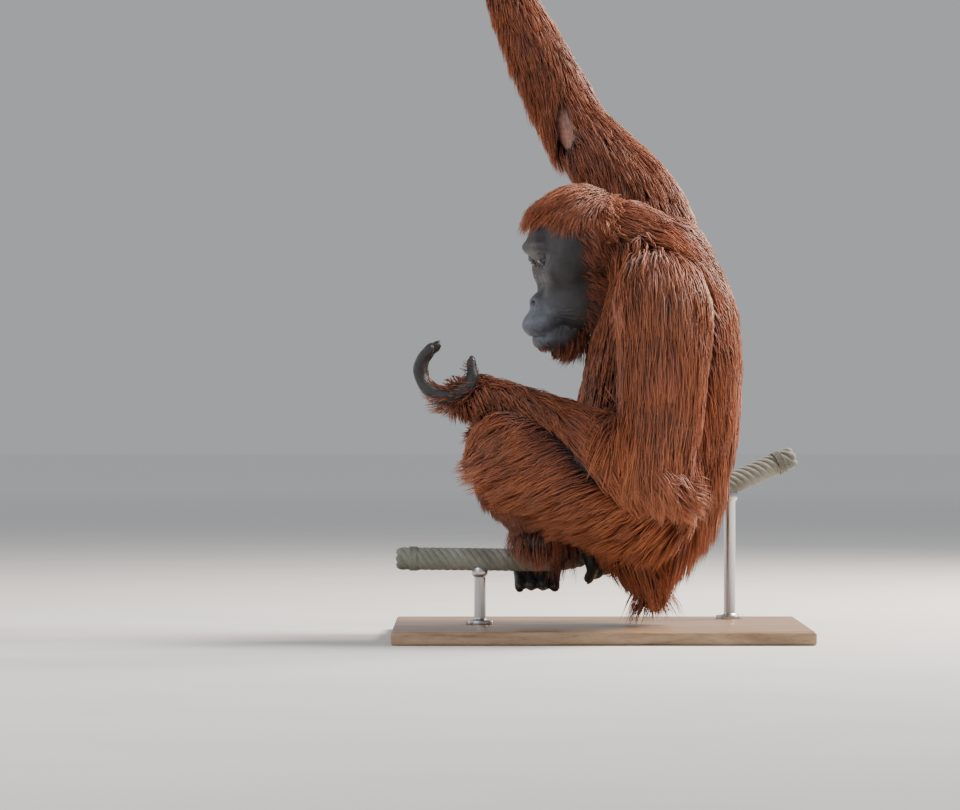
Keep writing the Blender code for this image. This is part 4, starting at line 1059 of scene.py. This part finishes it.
def topFaces(obj, height):
    bpy.ops.object.mode_set(mode="OBJECT")
    for face in obj.data.polygons:
        face.select = abs(face.center.z - height) < 1e-4 and face.normal.z > 0.9
    bpy.ops.object.mode_set(mode="EDIT")
    bpy.ops.mesh.select_mode(type="FACE")


def makeBase():
    v = standValues
    deselectAll()
    bpy.ops.mesh.primitive_cube_add(size=1, location=(0, 0, v["thick"] / 2),
                                    scale=(v["length"], v["width"], v["thick"]))
    base = settle(bpy.context.object, "standBoard")
    bpy.ops.object.mode_set(mode="EDIT")
    bpy.ops.mesh.select_all(action="SELECT")
    bpy.ops.mesh.bevel(offset=v["bevel"], segments=4, affect="EDGES")
    topFaces(base, v["thick"])
    bpy.ops.mesh.inset(thickness=0.018)
    bpy.ops.mesh.inset(thickness=0.0015, depth=-0.0012)
    bpy.ops.mesh.inset(thickness=0.0030)
    bpy.ops.mesh.inset(thickness=0.0015, depth=0.0012)
    bpy.ops.object.mode_set(mode="OBJECT")
    activeOnly(base)
    bpy.ops.object.shade_smooth_by_angle(angle=math.radians(35))
    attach(base, "root")
    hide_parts("stand_base")
    return base


def makeRod(node):
    v = standValues
    place = Vector(ropeValues["seatPoints"][v["rods"][node]])
    low, high = v["thick"], place.z - ropeValues["radius"] * 0.72
    deselectAll()
    bpy.ops.mesh.primitive_cylinder_add(vertices=56, radius=v["plateRadius"], depth=v["plateThick"],
                                        location=(place.x, place.y, low + v["plateThick"] / 2 + 0.0003))
    rod = settle(bpy.context.object, node.replace("stand_rod_", "standRod"))
    topFaces(rod, low + v["plateThick"] + 0.0003)
    bpy.ops.mesh.inset(thickness=0.0012)
    bpy.ops.transform.translate(value=(0, 0, 0.0007))
    bpy.ops.mesh.inset(thickness=v["plateRadius"] - v["rodRadius"] - 0.0042)
    bpy.ops.mesh.inset(thickness=0.0030, depth=0.0030)
    bpy.ops.mesh.extrude_region_move(TRANSFORM_OT_translate={"value": (0, 0, 0.0005)})
    rise = high - v["cupHeight"] - low - v["plateThick"] - 0.0045
    bpy.ops.mesh.extrude_region_move(TRANSFORM_OT_translate={"value": (0, 0, rise)})
    grow = v["cupRadius"] / v["rodRadius"]
    bpy.ops.mesh.extrude_region_move(TRANSFORM_OT_translate={"value": (0, 0, 0.004)})
    bpy.ops.transform.resize(value=(grow, grow, 1))
    bpy.ops.mesh.extrude_region_move(TRANSFORM_OT_translate={"value": (0, 0, v["cupHeight"] - 0.004)})
    bpy.ops.mesh.inset(thickness=0.0010)
    bpy.ops.mesh.inset(thickness=0.0060, depth=-0.0030)
    bpy.ops.object.mode_set(mode="OBJECT")
    activeOnly(rod)
    applyModifier(rod, "BEVEL", width=0.0005, segments=2, limit_method="ANGLE", angle_limit=math.radians(40))
    bpy.ops.object.shade_smooth_by_angle(angle=math.radians(35))
    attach(rod, "root")
    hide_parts(node)
    return rod


# Finishes
def newMaterial(name, **sockets):
    made = bpy.data.materials.new(name)
    made.use_nodes = True
    shader = made.node_tree.nodes["Principled BSDF"]
    for label, value in sockets.items():
        shader.inputs[label.replace("_", " ")].default_value = value
    return made, shader


def addNode(material, kind, settings=None, **inputs):
    node = material.node_tree.nodes.new("ShaderNode" + kind)
    for key, value in (settings or {}).items():
        setattr(node, key, value)
    for label, value in inputs.items():
        socket = node.inputs[int(label[1:])] if label[0] == "i" and label[1:].isdigit() else node.inputs[label]
        if hasattr(value, "is_output"):
            material.node_tree.links.new(value, socket)
        else:
            socket.default_value = value
    return node


def ramp(material, factor, stops):
    node = addNode(material, "ValToRGB", Fac=factor)
    elements = node.color_ramp.elements
    elements[0].position, elements[0].color = stops[0][0], (*stops[0][1], 1)
    elements[1].position, elements[1].color = stops[-1][0], (*stops[-1][1], 1)
    for place, colour in stops[1:-1]:
        elements.new(place).color = (*colour, 1)
    return node.outputs["Color"]


def grey(value):
    return (value, value, value)


def attribute(material, name):
    return addNode(material, "Attribute", {"attribute_name": name}).outputs["Fac"]


def noise(material, scale, detail=3, where=None, distortion=0.0):
    place = where or addNode(material, "TexCoord").outputs["Object"]
    return addNode(material, "TexNoise", Vector=place, Scale=scale, Detail=detail, Distortion=distortion).outputs["Fac"]


def calculate(material, operation, first, second):
    return addNode(material, "Math", {"operation": operation}, i0=first, i1=second).outputs[0]


def mixColour(material, factor, first, second, blend="MIX"):
    node = addNode(material, "Mix", {"data_type": "RGBA", "blend_type": blend}, i0=factor, i6=first, i7=second)
    return node.outputs[2]


def bump(material, shader, height, strength, distance):
    node = addNode(material, "Bump", Height=height, Strength=strength, Distance=distance)
    material.node_tree.links.new(node.outputs["Normal"], shader.inputs["Normal"])


def connect(material, output, shader, label):
    material.node_tree.links.new(output, shader.inputs[label])


def coatMaterial(name, dark, middle, bright, tip):
    made, shader = newMaterial(name, Roughness=0.54, Specular_IOR_Level=0.36, Sheen_Weight=0.10)
    patches = noise(made, 7.0, 2)
    mixed = calculate(made, "MULTIPLY_ADD", attribute(made, "tone"), 0.62)
    mixed.node.inputs[2].default_value = 0.0
    mixed = calculate(made, "ADD", mixed, calculate(made, "MULTIPLY", patches, 0.42))
    colour = ramp(made, mixed, [(0.20, dark), (0.50, middle), (0.84, bright)])
    broad = ramp(made, noise(made, 3.2, 3), [(0.34, (0.52, 0.44, 0.50)), (0.56, (1.0, 1.0, 1.0))])
    colour = mixColour(made, 1.0, colour, broad, "MULTIPLY")
    along = attribute(made, "along")
    # painted shade: each tuft darker towards its root, where it lies deep in the coat
    shade = ramp(made, along, [(0.0, grey(0.30)), (0.35, grey(0.80)), (1.0, grey(1.0))])
    colour = mixColour(made, 1.0, colour, shade, "MULTIPLY")
    streak = calculate(made, "MULTIPLY_ADD", attribute(made, "across"), 8.5)
    made.node_tree.links.new(calculate(made, "MULTIPLY", attribute(made, "tone"), 9.0), streak.node.inputs[2])
    streak = ramp(made, calculate(made, "SINE", streak, 0.0), [(0.0, grey(0.50)), (0.6, grey(1.0))])
    colour = mixColour(made, 1.0, colour, streak, "MULTIPLY")
    towards = calculate(made, "MULTIPLY", calculate(made, "POWER", along, 2.0), 0.45)
    colour = mixColour(made, towards, colour, (*tip, 1))
    connect(made, colour, shader, "Base Color")
    return made


def skinMaterial():
    made, shader = newMaterial("bareSkin", Roughness=0.50, Specular_IOR_Level=0.42, Sheen_Weight=0.05)
    fine, broad = noise(made, 160, 4), noise(made, 26, 3)
    slate = ramp(made, broad, [(0.30, (0.014, 0.012, 0.013)), (0.70, (0.034, 0.029, 0.031))])
    light = ramp(made, broad, [(0.30, (0.048, 0.054, 0.070)), (0.72, (0.125, 0.136, 0.168))])
    # painted shade: the feet darker than the hands, standing in for the shade under the body and the rope
    footShadeColour = ramp(made, broad, [(0.30, (0.008, 0.007, 0.007)), (0.70, (0.020, 0.016, 0.015))])
    under = ramp(made, broad, [(0.30, (0.030, 0.012, 0.008)), (0.70, (0.070, 0.026, 0.016))])
    rosy = ramp(made, fine, [(0.30, (0.330, 0.150, 0.110)), (0.70, (0.440, 0.220, 0.170))])
    colour = mixColour(made, attribute(made, "bare"), under, slate)
    colour = mixColour(made, attribute(made, "dark"), colour, footShadeColour)
    colour = mixColour(made, attribute(made, "pale"), colour, light)
    colour = mixColour(made, attribute(made, "pink"), colour, rosy)
    speckle = ramp(made, fine, [(0.36, grey(0.62)), (0.58, grey(1.0))])
    colour = mixColour(made, 0.7, colour, speckle, "MULTIPLY")
    connect(made, colour, shader, "Base Color")
    place = addNode(made, "TexCoord").outputs["Object"]
    warped = mixColour(made, 0.004, place, addNode(made, "TexNoise", Vector=place, Scale=90.0).outputs["Color"])
    cells = addNode(made, "TexVoronoi", {"feature": "DISTANCE_TO_EDGE"}, Vector=warped, Scale=620.0).outputs["Distance"]
    creases = ramp(made, cells, [(0.0, grey(0.0)), (0.22, grey(1.0))])
    height = mixColour(made, 0.60, creases, fine)
    bump(made, shader, height, 0.38, 0.0007)
    return made


def eyeMaterial():
    made, shader = newMaterial("wetEye", Roughness=0.06, Specular_IOR_Level=0.6, Coat_Weight=0.6, Coat_Roughness=0.03)
    gaze = attribute(made, "gaze")
    veins = noise(made, 900, 3)
    colour = ramp(made, gaze, [(0.0, (0.002, 0.002, 0.002)), (0.165, (0.002, 0.002, 0.002)), (0.18, (0.075, 0.030, 0.012)),
                               (0.36, (0.035, 0.014, 0.007)), (0.40, (0.030, 0.020, 0.016)), (0.60, (0.110, 0.080, 0.062))])
    colour = mixColour(made, 0.35, colour, ramp(made, veins, [(0.3, grey(0.5)), (0.7, grey(1.1))]), "MULTIPLY")
    connect(made, colour, shader, "Base Color")
    return made


def nailMaterial():
    made, shader = newMaterial("nailHorn", Roughness=0.34, Specular_IOR_Level=0.5)
    colour = ramp(made, noise(made, 300, 3), [(0.3, (0.018, 0.015, 0.014)), (0.7, (0.050, 0.042, 0.038))])
    connect(made, colour, shader, "Base Color")
    bump(made, shader, noise(made, 700, 2), 0.2, 0.0004)
    return made


def ropeMaterial():
    made, shader = newMaterial("weatheredRope", Roughness=0.88, Specular_IOR_Level=0.25, Sheen_Weight=0.15)
    fibres, dirt = noise(made, 520, 4, distortion=1.5), noise(made, 22, 3)
    colour = ramp(made, dirt, [(0.28, (0.120, 0.122, 0.098)), (0.52, (0.235, 0.240, 0.200)), (0.78, (0.345, 0.345, 0.300))])
    colour = mixColour(made, 0.6, colour, ramp(made, fibres, [(0.3, grey(0.55)), (0.65, grey(1.1))]), "MULTIPLY")
    connect(made, colour, shader, "Base Color")
    bump(made, shader, fibres, 0.6, 0.0012)
    return made


def woodMaterial():
    made, shader = newMaterial("varnishedBoard", Roughness=0.36, Specular_IOR_Level=0.45, Coat_Weight=0.25,
                               Coat_Roughness=0.18)
    place = addNode(made, "TexCoord").outputs["Object"]
    turned = addNode(made, "Mapping", Vector=place, Scale=(1.2, 14.0, 6.0)).outputs["Vector"]
    grain = noise(made, 5.0, 6, turned, 1.2)
    pores = noise(made, 60.0, 3, turned, 0.3)
    colour = ramp(made, grain, [(0.30, (0.190, 0.108, 0.058)), (0.50, (0.300, 0.185, 0.105)), (0.70, (0.385, 0.255, 0.155))])
    colour = mixColour(made, 0.5, colour, ramp(made, pores, [(0.34, grey(0.55)), (0.50, grey(1.0))]), "MULTIPLY")
    connect(made, colour, shader, "Base Color")
    bump(made, shader, pores, 0.12, 0.0006)
    return made


def steelMaterial():
    made, shader = newMaterial("brushedSteel", Metallic=1.0, Roughness=0.30)
    place = addNode(made, "TexCoord").outputs["Object"]
    stretched = addNode(made, "Mapping", Vector=place, Scale=(260.0, 260.0, 6.0)).outputs["Vector"]
    lines = noise(made, 3.0, 4, stretched)
    connect(made, ramp(made, lines, [(0.3, (0.40, 0.40, 0.41)), (0.7, (0.62, 0.62, 0.63))]), shader, "Base Color")
    bump(made, shader, lines, 0.10, 0.0003)
    return made


def floorMaterial():
    made, shader = newMaterial("paleFloor", Roughness=0.85, Specular_IOR_Level=0.2)
    colour = ramp(made, noise(made, 3.0, 2), [(0.3, (0.60, 0.595, 0.585)), (0.7, (0.64, 0.635, 0.625))])
    # painted light: the floor turns paler with distance, up to 0.93 grey, making up for the lamps' light falling off so
    # the far floor meets the backdrop evenly
    place = addNode(made, "TexCoord").outputs["Object"]
    far = addNode(made, "VectorMath", {"operation": "LENGTH"})
    made.node_tree.links.new(place, far.inputs[0])
    far = calculate(made, "MULTIPLY", far.outputs["Value"], 1 / roomValues["paintedLightReach"])
    colour = mixColour(made, ramp(made, far, [(0.12, grey(0.0)), (1.0, grey(1.0))]), colour, (*grey(0.93)[:3], 1))
    connect(made, colour, shader, "Base Color")
    return made


# Room: pale floor, painted paler into the distance, soft studio light from the upper right, camera at the photograph's
# side view
roomValues = {
    "paintedLightReach": 14.0,
    "metresPerPixel": 0.0015,
    "frameWidth": 960,
    "frameHeight": 810,
    "zeroPixel": (600, 625),
    "zeroHeight": 0.02,
    "cameraDistance": 8.0,
    "sensor": 36.0,
    "floorSize": 60.0,
}
lightValues = {
    "rimLight": {"place": (2.4, 2.2, 2.0), "aim": (0.05, 0.0, 0.6), "size": 0.9, "power": 210, "tint": (1.0, 0.80, 0.62)},
    "keyLight": {"place": (2.3, 0.6, 2.9), "aim": (0.05, -0.05, 0.5), "size": 1.6, "power": 335, "tint": (1.0, 0.96, 0.90)},
    "fillLight": {"place": (-2.2, -3.0, 1.9), "aim": (-0.05, -0.05, 0.45), "size": 2.4, "power": 66, "tint": (0.95, 0.97, 1.0)},
    "faceLight": {"place": (-2.8, 0.9, 1.3), "aim": (-0.05, -0.04, 0.5), "size": 1.2, "power": 26, "tint": (1.0, 0.98, 0.96)},
}


def makeRoom():
    v = roomValues
    deselectAll()
    bpy.ops.mesh.primitive_plane_add(size=v["floorSize"])
    floor = bpy.context.object
    floor.name = "floor"
    floor.data.materials.append(floorMaterial())
    world = bpy.data.worlds.new("studio")
    world.use_nodes = True
    world.node_tree.nodes["Background"].inputs["Color"].default_value = (0.80, 0.82, 0.85, 1)
    world.node_tree.nodes["Background"].inputs["Strength"].default_value = 0.50
    bpy.context.scene.world = world
    for name, light in lightValues.items():
        deselectAll()
        bpy.ops.object.light_add(type="AREA", location=light["place"])
        lamp = bpy.context.object
        lamp.name = name
        lamp.data.size = light["size"]
        lamp.data.energy = light["power"]
        lamp.data.color = light["tint"]
        lamp.rotation_euler = (Vector(light["aim"]) - Vector(light["place"])).to_track_quat("-Z", "Y").to_euler()
    scale = v["metresPerPixel"]
    x = (v["frameWidth"] / 2 - v["zeroPixel"][0]) * scale
    z = v["zeroHeight"] + (v["zeroPixel"][1] - v["frameHeight"] / 2) * scale
    deselectAll()
    bpy.ops.object.camera_add(location=(x, middleY - v["cameraDistance"], z), rotation=(math.pi / 2, 0, 0))
    camera = bpy.context.object
    camera.data.sensor_width = v["sensor"]
    camera.data.lens = v["sensor"] * v["cameraDistance"] / (v["frameWidth"] * scale)
    bpy.context.scene.camera = camera


# Putting it together
body = makeBody()
tell("body")
head = makeHead()
lids = [makeLid(side, upper) for side in (-1, 1) for upper in (True, False)]
ears = [makeEar(side) for side in (-1, 1)]
tell("head, lids and ears")
grips = makeHandsAndFeet()
nails = makeNails()
eyes = {name: makeEye(name.replace("eye_", "eyeball"), side) for name, side in (("eye_left", -1), ("eye_right", 1))}
tell("hands, feet, nails and eyes")
skin, skinPart = makeSkin(body, head, lids, ears, grips)
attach(skin, "root")
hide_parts("torso", "neck", "head", "ear_left", "ear_right", "upper_arm_left", "upper_arm_right",
            "forearm_left", "forearm_right", "hand_left", "hand_right", "thigh_left", "thigh_right",
            "shin_left", "shin_right", "foot_left", "foot_right")
skin.data.materials.clear()
skin.data.materials.append(skinMaterial())
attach(nails, "root")
nails.data.materials.append(nailMaterial())
wetEye = eyeMaterial()
for node, eye in eyes.items():
    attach(eye, "root")
    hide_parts(node)
    eye.data.materials.append(wetEye)
tell(f"skin of {len(skin.data.polygons)} faces")

draw = np.random.default_rng(coatValues["seed"])
facts = skinFacts(skin, skinPart)
coat = makeBodyCoat(facts, draw) + makeHeadCoat(facts, draw) + makeGripCoat(facts, draw)
longCoat = coatMaterial("longCoat", (0.060, 0.012, 0.006), (0.290, 0.056, 0.021), (0.62, 0.170, 0.050), (0.70, 0.235, 0.085))
for piece in coat:
    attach(piece, "root")
    piece.data.materials.append(longCoat)
tell(f"coat of {sum(len(piece.data.polygons) for piece in coat)} faces in {len(coat)} pieces")

ropeFinish = ropeMaterial()
_, heldCentre, _, _, heldBar = heldRopeFrame()
heldPoints = [heldCentre + heldBar * ropeValues["heldHalf"] * k for k in (-1, 0, 1)]
ropes = [makeRope("seatRope", ropeValues["seatPoints"], "perch_rope"),
         makeRope("heldRope", [tuple(p) for p in heldPoints], "perch_rope_upper")]
for rope in ropes:
    rope.data.materials.append(ropeFinish)
makeBase().data.materials.append(woodMaterial())
steel = steelMaterial()
for node in standValues["rods"]:
    makeRod(node).data.materials.append(steel)
makeRoom()
tell("ropes, stand and room")
